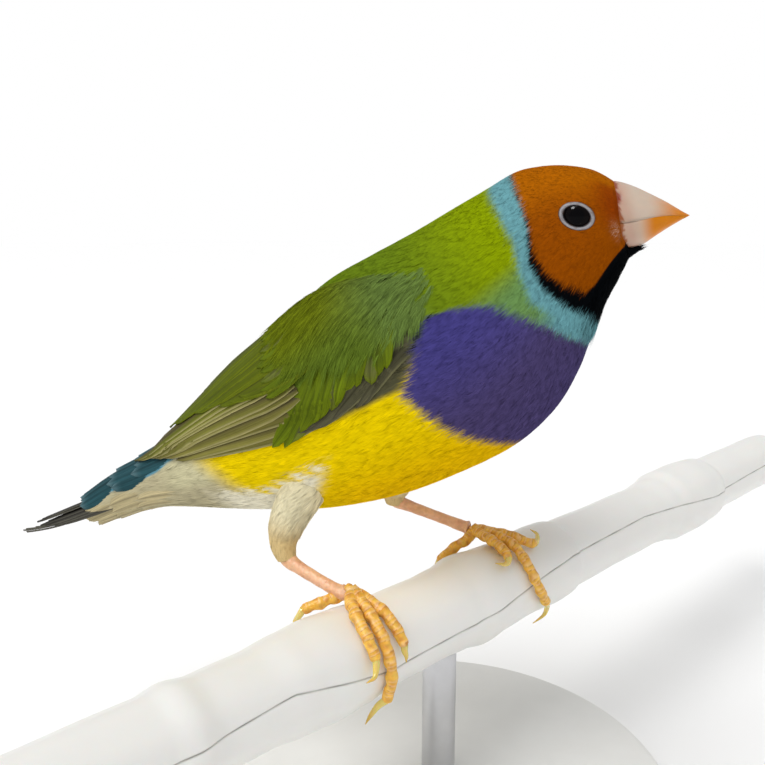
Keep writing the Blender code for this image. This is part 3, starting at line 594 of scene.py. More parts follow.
def barb_template():
    """A spike along +Z with its ridge towards +Y: z is the share of its length."""
    barb = bmesh.new()
    bmesh.ops.create_cone(barb, cap_ends=True, segments=3, radius1=1.0, radius2=0.0, depth=1.0)
    bmesh.ops.remove_doubles(barb, verts=barb.verts, dist=MERGE)
    bmesh.ops.translate(barb, vec=(0, 0, 0.5), verts=barb.verts)
    bmesh.ops.bisect_plane(barb, geom=barb.verts[:] + barb.edges[:] + barb.faces[:],
                           plane_co=(0, 0, BARB_MIDDLE), plane_no=(0, 0, 1))
    for vertex in barb.verts:
        reach = math.hypot(vertex.co.x, vertex.co.y)
        if reach > MERGE:
            width = BARB_ROOT_WIDTH if vertex.co.z < BARB_MIDDLE / 2 else BARB_MIDDLE_WIDTH
            turn = math.atan2(vertex.co.y, vertex.co.x)
            vertex.co.x = math.cos(turn) * width
            vertex.co.y = math.sin(turn) * width
    bmesh.ops.recalc_face_normals(barb, faces=barb.faces)
    barb.verts.index_update()
    return template(barb)


barb_points, barb_corners, barb_starts = barb_template()
highest = barb_points[np.argmax(np.hypot(barb_points[:, 0], barb_points[:, 1]))]
print("barb:", len(barb_points), "points,", len(barb_starts), "faces, first ridge towards", highest.round(2))

# %% [markdown]
# A feather's barbs fan out from its midline to a rounded end. Its root sits on the skin and its
# tip rides at the coat's surface, so each row of feathers covers the roots of the next. The barbs
# are real, but their shading directions are taken from the smooth body under them, which makes
# the coat silky where the barbs' own faces would glitter. A patch on the bake map, at the root's
# place on the skin's own unwrap, keeps every feather's colour apart from its neighbours'.

# %% Directions on a surface
SLOPE_STEP = 0.01


def surface_slopes(surface, along, around, around_step):
    """How points move with the surface's two parameters, and which way is out."""
    forward = surface(along + SLOPE_STEP, around) - surface(along - SLOPE_STEP, around)
    sideways = surface(along, around + around_step) - surface(along, around - around_step)
    return forward, sideways, surface(along, around, 1.0) - surface(along, around, 0.0)


def surface_axes(surface, along, around, around_step):
    """How far the surface's two parameters move per millimetre along and across it."""
    forward, sideways, outward = surface_slopes(surface, along, around, around_step)
    forward = forward / (2 * SLOPE_STEP)
    sideways = sideways / (2 * around_step)
    length = np.linalg.norm(forward, axis=-1)
    ahead = forward / length[..., None]
    lean = (sideways * ahead).sum(-1)
    square = sideways - ahead * lean[..., None]
    hand = np.sign((np.cross(ahead, square) * outward).sum(-1))
    return length, lean, np.linalg.norm(square, axis=-1), hand


def facings(surface, along, around, around_step):
    """Unit directions straight out of the surface, and sideways over it."""
    forward, sideways, outward = surface_slopes(surface, along, around, around_step)
    out = np.cross(forward, sideways)
    out = unit(out * np.sign((out * outward).sum(-1, keepdims=True)))
    return out, unit(np.cross(out, forward))


one_station = surface_axes(body_point, np.array([9.0]), np.array([90.0]), 0.5)[0]
print("millimetres in one station at mid body:", one_station.round(2))

# %% A feather's barbs
# Noise of the barbs' directions, lengths, ends and heights, as shares of the feather's size
FAN_NOISE, REACH_NOISE, END_NOISE, LIFT_NOISE = 0.05, 0.12, 0.06, 0.05
# How much shorter the outermost barbs are, and over what share of the length the barbs start
TIP_ROUND, ROOT_SPREAD = 0.38, 0.3
FAN_WIDTH, FAN_CURVE = 0.95, 0.8
BARB_OVERLAP = 2.6


def spread(values):
    """One value for each feather, shaped to run over its barbs and their points."""
    return values[:, None, None]


def barb_fans(length, half_width, ragged, barbs):
    """Where each point of each barb lies ahead of its root and aside from it, and the barbs' widths."""
    shape = (len(length), barbs)
    fan = np.linspace(-1.0, 1.0, barbs)[None, :] + chance.normal(0, FAN_NOISE, shape)
    reach = 1 - TIP_ROUND * fan ** 2 + chance.normal(0, REACH_NOISE, shape) * (1 + ragged[:, None])
    start = (ROOT_SPREAD * (1 - np.abs(fan)) * length[:, None])[..., None]
    end = (reach * length[:, None])[..., None]
    aside = (fan * FAN_WIDTH + chance.normal(0, END_NOISE, shape)) * half_width[:, None]
    aside = aside[..., None]
    width = spread(half_width * BARB_OVERLAP / barbs)
    share = barb_points[:, 2]
    own = barb_points[:, 0] * width / 2
    run = np.hypot(end - start, aside)
    ahead = start + (end - start) * share - own * aside / run
    return ahead, aside * share ** FAN_CURVE + own * (end - start) / run, width


print("widest barb of a feather 2 mm wide with 11 barbs:", round(BARB_OVERLAP / 11, 2), "mm")

# %% Growing a coat
PATCH = 0.003
# Each feather is painted darker at its root, as painted shade where the rows overlap, and lighter at its tip,
# as painted light
ROOT_PAINTED_SHADE, TIP_PAINTED_LIGHT = 0.95, 1.02
BARB_RIDGE, BARB_ROUND = 0.1, 0.25
EDGE_DROOP = 0.12
ROOT_SUNK = 0.05
COLOUR_STRAY = 0.14
FEATHER_SHADE_NOISE = 0.03
FACING_NOISE = 0.05


def grow_coat(surface, colour_of, map_of, roots, sizes, barbs, around_step=0.5, bare=None, streak=0.04):
    """Arrays of points, colours, map places and normals of a coat, one fan of barbs at each root.

    Roots are along, around; sizes are length, half width, rise, lie in degrees, ragged."""
    root_along, root_around = roots
    length, half_width, rise, lie, ragged = sizes
    count = len(root_along)
    scale_along, lean, scale_around, hand = surface_axes(surface, root_along, root_around, around_step)
    ahead, aside, width = barb_fans(length, half_width, ragged, barbs)
    part = np.clip(ahead / spread(length), 0.0, 1.3)
    climb = 1 - (1 - np.minimum(part, 1.0)) ** 2
    droop = EDGE_DROOP * (aside / spread(half_width)) ** 2
    lift_noise = chance.normal(0, LIFT_NOISE, (count, barbs, 1)) * (1 + 4 * spread(ragged))
    height = spread(rise) * (climb * (1 - droop) + lift_noise * part)
    height = height + barb_points[:, 1] * width * BARB_RIDGE - ROOT_SUNK
    turn = spread(np.radians(lie * np.sign(root_around)))
    aside = aside * spread(hand)
    d_around = (ahead * np.sin(turn) + aside * np.cos(turn)) / spread(scale_around)
    d_along = ahead * np.cos(turn) - aside * np.sin(turn) - d_around * spread(lean)
    along = spread(root_along) + d_along / spread(scale_along)
    around = spread(root_around) + d_around
    points = surface(along, around, height)
    stray = chance.normal(0, COLOUR_STRAY, (count, barbs, 1)) / spread(scale_along)
    # Painted shade at each feather's root and painted light at its tip, then a random tone for each feather
    # and each barb
    shade = ROOT_PAINTED_SHADE + (TIP_PAINTED_LIGHT - ROOT_PAINTED_SHADE) * np.clip(part * 1.15, 0, 1)
    shade = shade * chance.normal(1.0, FEATHER_SHADE_NOISE, (count, 1, 1))
    shade = shade * chance.normal(1.0, streak, (count, barbs, 1))
    paint = np.clip(colour_of(along + stray, around) * shade[..., None], 0.0, 1.0)
    map_u, map_v = map_of(root_along, root_around)
    places = np.stack([
        spread(map_u) + np.clip(aside / spread(half_width), -1, 1) * PATCH / 2,
        spread(map_v) + np.clip(part - 0.5, -0.5, 0.5) * PATCH,
    ], -1)
    out, side = facings(surface, along.mean(2), around.mean(2), around_step)
    out = out + chance.normal(0, FACING_NOISE, out.shape)
    normals = out[:, :, None] + side[:, :, None] * (barb_points[:, 0] * BARB_ROUND)[:, None]
    keep = np.ones((count, barbs), bool)
    if bare is not None:
        keep = ~bare(points).any(axis=2)
    return points[keep], paint[keep], places[keep], normals[keep]


def copies(name, points, paint, corners, starts):
    """A smooth mesh of many copies of one template, and the point at every corner of its faces."""
    count, size = points.shape[:2]
    number = np.arange(count)[:, None]
    all_corners = (corners + size * number).ravel()
    all_starts = (starts + len(corners) * number).ravel()
    data = bpy.data.meshes.new(name)
    data.vertices.add(count * size)
    data.vertices.foreach_set("co", in_metres(points).astype(np.float32).ravel())
    data.loops.add(len(all_corners))
    data.loops.foreach_set("vertex_index", all_corners.astype(np.int32))
    data.polygons.add(len(all_starts))
    data.polygons.foreach_set("loop_start", all_starts.astype(np.int32))
    data.polygons.foreach_set("use_smooth", np.ones(len(all_starts), bool))
    data.update(calc_edges=True)
    rgba = np.ones((count * size, 4), np.float32)
    rgba[:, :3] = paint.reshape(-1, 3)
    layer = data.color_attributes.new(PAINT, "FLOAT_COLOR", "POINT")
    layer.data.foreach_set("color", rgba.ravel())
    return data, all_corners


def add_map(data, name, places, corners):
    """Give a mesh a map from each point's place."""
    layer = data.uv_layers.new(name=name)
    layer.data.foreach_set("uv", places.reshape(-1, 2)[corners].astype(np.float32).ravel())


def coat_piece(name, grown):
    """One mesh from many barbs."""
    points, paint, places, normals = grown
    data, corners = copies(name, points, paint, barb_corners, barb_starts)
    data.normals_split_custom_set_from_vertices(unit(normals.reshape(-1, 3)))
    add_map(data, BAKE_MAP, places, corners)
    print(name, len(points), "barbs")
    adopt(name, data, feather_finish)


print("triangles in a barb:", len(barb_corners) - 2 * len(barb_starts))

# %% [markdown]
# Feathers are smallest round the bill and grow towards the tail. Roots are set in rings round
# the body, each ring shifted against the last as tiles are, and closer rings on the short side
# of a bend are thinned by chance. Round the eye the skin stays bare.

# %% Where the feathers root
SIZE_STATIONS = (0.0, 1.0, 3.0, 4.6, 6.0, 8.0, 12.0, 16.0)
LENGTHS = (0.9, 1.3, 1.75, 2.2, 3.1, 4.4, 5.4, 5.8)
HALF_WIDTHS = (0.25, 0.33, 0.44, 0.55, 0.78, 1.02, 1.2, 1.3)
RING_GAPS = (0.27, 0.36, 0.5, 0.62, 0.85, 1.15, 1.4, 1.6)
ACROSS_GAPS = (0.27, 0.36, 0.47, 0.58, 0.78, 1.0, 1.2, 1.3)
FIRST_RING, LAST_RING = 0.04, 15.3
RING_STEP = 0.05
PLACE_NOISE = 0.16
# Behind this station, roots that the wing covers this much are left out
HIDDEN_FROM, HIDDEN_COVER = 9.9, 0.85
BARE_SHARE = 0.92


def body_roots():
    """Stations and angles of all feather roots on the body."""
    stations, angles = [], []
    fine = np.linspace(-180, 180, 721)
    station, ring = FIRST_RING, 0
    while station < LAST_RING:
        here = skin_point(station, fine)
        there = skin_point(station + RING_STEP, fine)
        per_station = np.linalg.norm(there - here, axis=1) / RING_STEP
        arc = travelled(here)
        ring_gap = np.interp(station, SIZE_STATIONS, RING_GAPS)
        count = max(6, round(arc[-1] / np.interp(station, SIZE_STATIONS, ACROSS_GAPS)))
        places = np.arange(count) + 0.5 * (ring % 2) + chance.normal(0, PLACE_NOISE, count)
        ring_angles = np.interp(places * arc[-1] / count % arc[-1], arc, fine)
        local = np.interp(ring_angles, fine, per_station)
        keep = chance.random(count) < local / local.max() * 1.05
        jitter = chance.normal(0, PLACE_NOISE, count) * ring_gap / local
        stations.append(np.clip(station + jitter, 0.02, None)[keep])
        angles.append(ring_angles[keep])
        station += ring_gap / per_station.max()
        ring += 1
    return np.concatenate(stations), np.concatenate(angles)


def kept_bare(points):
    """True for points inside the bare rim round either eye, or under the bill's base."""
    ringed = (from_eye(points) < BARE_SHARE) & (np.abs(points[..., 1]) > 3.0)
    return ringed | ((ahead_of_face(points) > 0.3) & (points[..., 2] > 64.0))


root_station, root_angle = body_roots()
under_wing = (wing_cover(root_station, root_angle) > HIDDEN_COVER) & (root_station > HIDDEN_FROM)
root_station, root_angle = root_station[~under_wing], root_angle[~under_wing]
print("feathers on the body:", len(root_station))

# %% [markdown]
# The coat is grown in lengths of the body, so that no piece grows too heavy to export. On the
# bib the feathers stand out raggedly, and over the wing's front they point down and back.

# %% The body's coat
COAT_LENGTHS = {
    "coat_head": (0.0, 2.6, 6, "plumage_mask"),
    "coat_cheek": (2.6, 4.7, 9, "plumage_mask"),
    "coat_neck": (4.7, 6.3, 11, "plumage_nape"),
    "coat_breast": (6.3, 8.1, 11, "plumage_body"),
    "coat_middle": (8.1, 9.8, 11, "plumage_body"),
    "coat_vent": (9.8, 16.0, 10, "plumage_body"),
}
COVERT_LIE, LIE_NOISE = 22.0, 4.0
BIB_RAGGED, VENT_RAGGED = 1.4, 0.3
# The pieces that end before this station come near the eye or the bill
BARE_END = 4.7


def body_map(station, degrees):
    """The place of a root on the skin's unwrap."""
    return (degrees + 180) / 360, station / LAST_STATION * BODY_MAP_TOP


for name, (start, end, barbs, slot) in COAT_LENGTHS.items():
    here = (root_station >= start) & (root_station < end)
    station, degrees = root_station[here], root_angle[here]
    around = np.abs(degrees)
    varied = chance.normal(1.0, 0.08, len(station))
    ragged = BIB_RAGGED * eased(around, 138, 150) * (1 - eased(station, 3.8, 4.5))
    ragged = ragged + VENT_RAGGED * eased(station, 11.0, 12.5) * eased(around, 120, 150)
    sizes = (
        np.interp(station, SIZE_STATIONS, LENGTHS) * varied * (1 + 0.25 * ragged),
        np.interp(station, SIZE_STATIONS, HALF_WIDTHS) * varied,
        coat_depth(station) * (1.0 + 1.6 * ragged),
        COVERT_LIE * wing_cover(station, degrees) + chance.normal(0, LIE_NOISE, len(station)),
        ragged,
    )
    bare = kept_bare if end <= BARE_END else None
    grown = grow_coat(skin_point, body_colour, body_map, (station, degrees), sizes, barbs, bare=bare)
    coat_piece(name, grown)

# %% [markdown]
# The thighs are feathered down to the ankle. Their upper feathers are long, white and loose,
# and lie over the yellow of the belly; the lower ones are short and cream coloured.

# %% The thighs' coat
THIGH_BARBS = 9
THIGH_RINGS = 34
THIGH_ACROSS_GAP = 0.5
THIGH_LIE = -22.0


def thigh_roots(side):
    """Shares along a thigh and angles round it where feathers root."""
    along, around = [], []
    for ring, share in enumerate(np.linspace(0.03, 0.97, THIGH_RINGS)):
        girth = travelled(thigh_point(side, share, np.linspace(0, 360, 61)))[-1]
        count = round(girth / THIGH_ACROSS_GAP)
        turn = (np.arange(count) + 0.5 * (ring % 2) + chance.normal(0, 0.2, count)) * 360 / count + 1.0
        along.append(np.clip(share + chance.normal(0, 0.01, count), 0.01, 0.98))
        around.append(turn % 360 + 0.01)
    return np.concatenate(along), np.concatenate(around)


for side, map_low in THIGH_MAP_LOW.items():
    share, turn = thigh_roots(side)
    loose = (1 - eased(share, 0.4, 0.62)) * eased(share, 0.12, 0.25)
    varied = chance.normal(1.0, 0.1, len(share))
    sizes = (
        (2.6 + 1.8 * loose) * varied,
        (0.36 + 0.2 * loose) * varied,
        0.15 + 0.2 * loose,
        THIGH_LIE * np.cos(np.radians(turn)) * (0.3 + loose) + chance.normal(0, 6.0, len(share)),
        0.1 + 0.5 * loose,
    )
    grown = grow_coat(
        lambda along, around, height=0.0: thigh_point(side, along, around, height),
        thigh_colour,
        lambda along, around: (
            map_low + around / 360 * THIGH_MAP_WIDTH, THIGH_MAP_BASE + along * (1 - THIGH_MAP_BASE),
        ),
        (share, turn), sizes, THIGH_BARBS, around_step=2.0,
    )
    coat_piece("coat_thigh_" + side, grown)

# %% [markdown]
# Flight feathers and coverts are real vanes: thin sheets with a rounded end, a camber and a
# shaft line. One sheet is made with bmesh as a grid that is given thickness, and is laid along
# the body from a root to a tip for every feather. Each vane has its own cell on the bake map,
# because its pale edge and its streaks would be lost in a tiny patch. A second map, from root
# to tip and from edge to edge, lets the shader draw streaks along the barbs.

# %% One vane
VANE_ROWS, VANE_COLUMNS = 16, 8
VANE_THICKNESS = 0.14
BARB_MAP = "barbs"


def vane_template():
    """A sheet with x across from -1 to 1, y along from 0 to 1 and z from 0 down to -1."""
    sheet = bmesh.new()
    bmesh.ops.create_grid(sheet, x_segments=VANE_COLUMNS, y_segments=VANE_ROWS, size=1.0)
    bmesh.ops.solidify(sheet, geom=sheet.faces[:], thickness=1.0)
    bottom = min(vertex.co.z for vertex in sheet.verts)
    top = max(vertex.co.z for vertex in sheet.verts)
    for vertex in sheet.verts:
        vertex.co.y = (vertex.co.y + 1) / 2
        vertex.co.z = (vertex.co.z - top) / (top - bottom)
    bmesh.ops.recalc_face_normals(sheet, faces=sheet.faces)
    sheet.verts.index_update()
    return template(sheet)


vane_points, vane_corners, vane_starts = vane_template()
VANE_V, VANE_U, VANE_Z = vane_points.T
print("vane:", len(vane_points), "points")


# %% A vane's shape
ROOT_SHARE, ROOT_WIDTH = 0.18, 0.35
FRAY = 0.05


def vane_outline(pointed):
    """Half width of a vane along its length, as a share: a high power is blunt, a low one pointed."""
    root = ROOT_WIDTH + (1 - ROOT_WIDTH) * np.clip(VANE_U / ROOT_SHARE, 0, 1) ** 0.6
    tip = np.sqrt(np.clip(1 - VANE_U ** pointed, 0, 1))
    return root * np.maximum(tip, 0.02)


def frayed(half_width):
    """Small steps along a vane's edges, where its barbs part."""
    edge = np.abs(VANE_V) > 0.9
    return np.where(edge, chance.normal(0, FRAY, len(VANE_U)) * half_width, 0.0)


def body_vane(root, tip, half_width, lifts, tilt=0.0, pointed=5.0, camber=0.35, bow=0.0):
    """Points of a vane that follows the body; roots and tips are station, angle."""
    along = root[0] + (tip[0] - root[0]) * VANE_U
    around = root[1] + (tip[1] - root[1]) * VANE_U + bow * np.sin(math.pi * VANE_U)
    # The body ends at its last station, so tips that reach past it take their directions from there
    measured = np.minimum(along, LAST_STATION)
    scale_along, lean, scale_around, _ = surface_axes(body_point, measured, around, 0.5)
    ahead_x = (tip[0] - root[0]) * scale_along + (tip[1] - root[1]) * lean
    ahead_y = (tip[1] - root[1]) * scale_around
    norm = np.hypot(ahead_x, ahead_y)
    down = np.sign(root[1] if root[1] else 1.0)
    across = VANE_V * half_width * vane_outline(pointed)
    slip = frayed(half_width)
    x = (-ahead_y * across * down + ahead_x * slip) / norm
    y = (ahead_x * across * down + ahead_y * slip) / norm
    d_around = y / scale_around
    along = along + (x - d_around * lean) / scale_along
    lift = lifts[0] + (lifts[1] - lifts[0]) * VANE_U ** 0.7 + tilt * VANE_V - camber * VANE_V ** 2
    return skin_point(along, around + d_around, lift + VANE_Z * VANE_THICKNESS)


def straight_vane(root, tip, upward, half_width, pointed=5.0, camber=0.2, sag=0.0):
    """Points of a vane on a straight line from a root to a tip, its face turned upward."""
    root, tip = np.array(root, float), np.array(tip, float)
    ahead = unit(tip - root)
    side = unit(np.cross(ahead, np.array(upward, float)))
    normal = np.cross(side, ahead)
    across = VANE_V * half_width * vane_outline(pointed)
    height = VANE_Z * VANE_THICKNESS - camber * VANE_V ** 2 - sag * VANE_U ** 2
    middle = root + (tip - root) * VANE_U[:, None] + ahead * frayed(half_width)[:, None]
    return middle + side * across[:, None] + normal * height[:, None]


print("share of a vane's full width at its root:", vane_outline(5.0)[VANE_U.argmin()].round(2))

# %% A vane's colours
ROOT_SHADE, SHAFT_SHADE = 0.78, 0.6
EDGE_BLEND, TIP_BLEND = 0.9, 0.7
TIP_FROM = 0.82
STREAK_NOISE = 0.07


def vane_paint(base, edge, tip_colour, edge_from=0.62, hidden=None):
    """A vane's colour, pale along its edges or, where its hidden half is dark, along the outer one."""
    across = np.abs(VANE_V) if hidden is None else VANE_V
    lightness = ROOT_SHADE + (1 - ROOT_SHADE) * eased(VANE_U, 0.0, 0.6)
    colour = np.broadcast_to(base, (len(VANE_U), 3)) * lightness[:, None]
    if hidden is not None:
        colour = mixed(colour, hidden, 1 - eased(VANE_V, 0.1, 0.6))
    colour = mixed(colour, edge, eased(across, edge_from, 0.98) * EDGE_BLEND)
    colour = mixed(colour, tip_colour, eased(VANE_U, TIP_FROM, 1.0) * TIP_BLEND)
    shaft = np.abs(VANE_V) < 0.01
    colour = np.where(shaft[:, None], colour * SHAFT_SHADE, colour)
    streak = chance.normal(1.0, STREAK_NOISE, VANE_COLUMNS + 1)
    column = np.clip(((VANE_V + 1) / 2 * VANE_COLUMNS + 0.5).astype(int), 0, VANE_COLUMNS)
    return np.clip(colour * streak[column][:, None], 0, 1)


print("columns of colour across a vane:", VANE_COLUMNS + 1)


# %% Vanes in one piece
def cell_places(count):
    """Map places of many vanes: a square cell each, its face in one half and its back in the other."""
    cells = math.ceil(math.sqrt(count * 2))
    cell = np.arange(count)
    low = np.stack([cell % cells, cell // cells], -1) / cells
    back = (VANE_Z < -0.5) * 0.5
    inside = np.stack([(VANE_V + 1) / 2 * 0.42 + 0.03 + back, VANE_U * 0.9 + 0.05], -1)
    return low[:, None, :] + inside / cells


def barb_places(count):
    """Places for the barbs' streaks: across from the shaft, and along from root to tip."""
    across = VANE_V * 0.5 + np.arange(count)[:, None] * 1.7
    return np.stack([across, np.broadcast_to(VANE_U, across.shape)], -1)


def vane_piece(name, vanes, material, stands_for=()):
    """One mesh from many vanes, each a pair of its points and its paint."""
    points, paint = (np.array(part) for part in zip(*vanes))
    data, corners = copies(name, points, paint, vane_corners, vane_starts)
    add_map(data, BAKE_MAP, cell_places(len(vanes)), corners)
    add_map(data, BARB_MAP, barb_places(len(vanes)), corners)
    data.uv_layers.active = data.uv_layers[BAKE_MAP]
    outward = bmesh.new()
    outward.from_mesh(data)
    bmesh.ops.recalc_face_normals(outward, faces=outward.faces)
    outward.to_mesh(data)
    outward.free()
    print(name, len(vanes), "vanes")
    adopt(name, data, material, stands_for)


print("size of a vane's cell among 60:", round(1 / math.ceil(math.sqrt(60 * 2)), 3))


# %% Streaks on the vanes
def streaked_finish(name, streaks, depth):
    """The plumage finish with streaks that run from the shaft out along the barbs."""
    material = finish(name, 0.6, 700.0, 0.1, 0.00003, (("Specular IOR Level", 0.05),))
    nodes, links = material.node_tree.nodes, material.node_tree.links
    own_map = nodes.new("ShaderNodeUVMap")
    own_map.uv_map = BARB_MAP
    slant = nodes.new("ShaderNodeMapping")
    slant.inputs["Rotation"].default_value = (0.0, 0.0, math.radians(12))
    slant.inputs["Scale"].default_value = (streaks, 1.6, 1.0)
    barbs = nodes.new("ShaderNodeTexNoise")
    barbs.inputs["Scale"].default_value = 1.0
    barbs.inputs["Detail"].default_value = 4.0
    links.new(own_map.outputs["UV"], slant.inputs["Vector"])
    links.new(slant.outputs["Vector"], barbs.inputs["Vector"])
    vary = nodes.new("ShaderNodeMapRange")
    vary.inputs["From Min"].default_value = 0.3
    vary.inputs["From Max"].default_value = 0.7
    vary.inputs["To Min"].default_value = 1.0 - depth
    vary.inputs["To Max"].default_value = 1.0 + depth
    links.new(barbs.outputs["Fac"], vary.inputs["Value"])
    shader = nodes["Principled BSDF"]
    plain = shader.inputs["Base Color"].links[0].from_socket
    streak = nodes.new("ShaderNodeVectorMath")
    streak.operation = "SCALE"
    links.new(plain, streak.inputs[0])
    links.new(vary.outputs["Result"], streak.inputs["Scale"])
    links.new(streak.outputs["Vector"], shader.inputs["Base Color"])
    return material


STREAKS, STREAK_DEPTH = 26.0, 0.3
streaked = streaked_finish("streaked_feather", STREAKS, STREAK_DEPTH)
print("finish of the vanes:", streaked.name)

# %% [markdown]
# The folded wing is built from the body outwards, as the bird folds it: the long primaries lie
# lowest, their pale outer edges stacked like the leaves of a fan, then the olive secondaries
# and tertials, then rows of coverts, the longest of which hang down in a loose clump. The left
# wing is the same, with its angles mirrored.

# %% The wings
# Rows: count, root line, tip line, half width, root lift, tip lift, step of lift, tilt, pointed
WING_ROWS = {
    "primary": (10, ((9.9, 88), (9.9, 52)), ((12.45, 74), (13.97, 34)), 1.6, 0.1, 0.55, 0.06, 0.2, 3.5),
    "secondary": (12, ((9.0, 66), (9.0, 24)), ((10.7, 61), (12.8, 30)), 1.8, 0.3, 1.0, 0.025, 0.15, 4.0),
    "tertial": (7, ((9.0, 40), (9.2, 15)), ((12.0, 28), (11.6, 9)), 1.9, 0.2, 1.05, 0.04, 0.12, 4.0),
    "patch": (7, ((7.6, 76), (8.6, 85)), ((9.2, 91.5), (10.3, 89)), 1.4, -0.2, 0.6, 0.03, 0.1, 3.0),
    "hanging": (13, ((9.2, 62), (8.0, 64)), ((10.82, 91), (8.55, 84)), 1.75, -0.1, 0.7, 0.04, 0.15, 3.4),
    "greater": (12, ((8.9, 60), (8.9, 22)), ((10.4, 66), (10.1, 18)), 1.5, 0.1, 0.95, 0.03, 0.12, 3.4),
}
BROWN_OLIVE = linear(126, 121, 58)
CREAM_EDGE = linear(176, 168, 114)
PRIMARY_DARK = linear(86, 79, 46)
OLIVE = linear(94, 106, 12)
OLIVE_LIGHT = linear(112, 122, 22)
GREEN = linear(92, 108, 10)
WING_PAINT = {
    "primary": (BROWN_OLIVE, CREAM_EDGE, PRIMARY_DARK),
    "secondary": (OLIVE * 0.85, OLIVE_LIGHT, OLIVE),
    "tertial": (OLIVE, OLIVE_LIGHT, OLIVE),
    "patch": (linear(84, 82, 60), linear(122, 120, 84), linear(76, 72, 58)),
    "hanging": (GREEN, linear(108, 124, 14), linear(100, 114, 8)),
    "greater": (GREEN, linear(106, 120, 22), GREEN),
}
WORN_BROWN = linear(98, 94, 62)
WORN_BLEND = 0.55
HIDDEN_HALF = {"primary": PRIMARY_DARK, "secondary": linear(76, 82, 20), "tertial": linear(80, 88, 16)}
# Noise of each vane's places along and round the body, its bow and its shade
ALONG_NOISE, ANGLE_NOISE, BOW_NOISE, VANE_SHADE_NOISE = 0.04, 0.8, 1.0, 0.1
WING_CAMBER, WING_EDGE_FROM = 0.08, 0.8


def wing_vanes(mirror):
    """Every vane of one wing, lowest first."""
    vanes = []
    for row, (count, roots, tips, half_width, low, high, step, tilt, pointed) in WING_ROWS.items():
        base, edge, end = WING_PAINT[row]
        for number in range(count):
            part = number / (count - 1)
            root = [a + (b - a) * part for a, b in zip(*roots)]
            tip = [a + (b - a) * part for a, b in zip(*tips)]
            root[1] += chance.normal(0, ANGLE_NOISE)
            tip[0] += chance.normal(0, ALONG_NOISE)
            tip[1] += chance.normal(0, ANGLE_NOISE)
            colour = base * chance.normal(1.0, VANE_SHADE_NOISE)
            if row == "primary":
                colour = colour + (OLIVE * 0.8 - colour) * max(0.0, part - 0.3)
            if row in ("hanging", "greater") and number % 4 == 2:
                colour = colour + (WORN_BROWN - colour) * WORN_BLEND
            close = 0.6 + 0.4 * float(eased(tip[1], 8, 50))
            lifts = (low + step * number, (high + step * number) * close)
            points = body_vane(
                (root[0], root[1] * mirror), (tip[0], tip[1] * mirror),
                half_width, lifts, tilt, pointed, WING_CAMBER, bow=chance.normal(0, BOW_NOISE) * mirror,
            )
            vanes.append((points, vane_paint(colour, edge, end, WING_EDGE_FROM, HIDDEN_HALF.get(row))))
    return vanes


for side, mirror in SIDES.items():
    vane_piece("wing_feathers_" + side, wing_vanes(mirror), streaked, ("wing_" + side,))

# %% [markdown]
# Over the roots of the vanes lie the lesser coverts, small and silky, which run on from the
# feathers of the back. They are grown as the body's coat is, over a surface that clears the
# vanes, and they turn more and more downwards towards the wing's front edge.

# %% The wing's soft coverts
SOFT_FRONT, SOFT_END, SOFT_ALONG_GAP = 6.95, 9.7, 0.11
SOFT_HIGH, SOFT_LOW, SOFT_AROUND_GAP = 10.0, 92.0, 2.6
# Rows of station and the lowest angle there, length or half width, then of angle and lie
SOFT_LOW_EDGE = np.array([(6.9, 60), (7.5, 72), (8.1, 76), (8.7, 72), (9.7, 54)])
SOFT_LENGTHS = np.array([(7.0, 3.4), (8.0, 5.2), (9.7, 7.2)])
SOFT_HALF_WIDTHS = np.array([(7.0, 0.6), (9.7, 0.7)])
SOFT_LIE = np.array([(10, 6), (45, 24), (80, 44)])
SOFT_RISE, SOFT_RAGGED = 0.4, 0.3
SOFT_BARBS, SOFT_STREAK = 15, 0.15
VANE_CLEAR = 0.7


def over_wing(station, degrees, height=0.0):
    """Places over the vanes, or a height above that."""
    cover = wing_cover(station, degrees)
    return body_point(station, degrees, height - coat_depth(station) + (WING_RAISE + VANE_CLEAR) * cover)


def soft_roots():
    """Stations and angles where the soft coverts root."""
    rows = np.arange(SOFT_FRONT, SOFT_END, SOFT_ALONG_GAP)
    station, degrees = np.meshgrid(rows, np.arange(SOFT_HIGH, SOFT_LOW, SOFT_AROUND_GAP))
    station = (station + chance.normal(0, 0.03, station.shape)).ravel()
    degrees = (degrees + chance.normal(0, 0.8, degrees.shape)).ravel()
    inside = (degrees > read_line(WING_TOP_EDGE, station) - 2) & (degrees < read_line(SOFT_LOW_EDGE, station))
    return station[inside], degrees[inside]


for side, mirror in SIDES.items():
    station, degrees = soft_roots()
    count = len(station)
    varied = chance.normal(1.0, 0.1, count)
    sizes = (
        read_line(SOFT_LENGTHS, station) * varied,
        read_line(SOFT_HALF_WIDTHS, station) * varied,
        np.full(count, SOFT_RISE),
        read_line(SOFT_LIE, degrees) + chance.normal(0, LIE_NOISE, count),
        np.full(count, SOFT_RAGGED),
    )
    roots = (station, degrees * mirror)
    grown = grow_coat(over_wing, wing_colour, body_map, roots, sizes, SOFT_BARBS, streak=SOFT_STREAK)
    coat_piece("coat_wing_" + side, grown)

# %% [markdown]
# The tail is short here: slate-blue coverts with pale tips lie over its root, long cream ones
# lie under it, and between them the thin dark tail feathers run out to wispy ends.

# %% The tail
# Rows: root station, tip station and the angles of the feathers
UPPER_COVERTS = (
    (12.3, 14.1, (0, 22, 44, 60)),
    (13.0, 14.8, (10, 32, 54, 70)),
    (14.1, 15.95, (0, 22, 44, 62)),
)
UNDER_COVERTS = (
    (12.4, 14.3, (180, 158, 134, 112)),
    (13.3, 15.1, (170, 146, 122, 102)),
    (14.1, 15.95, (180, 160, 138, 118, 102)),
)
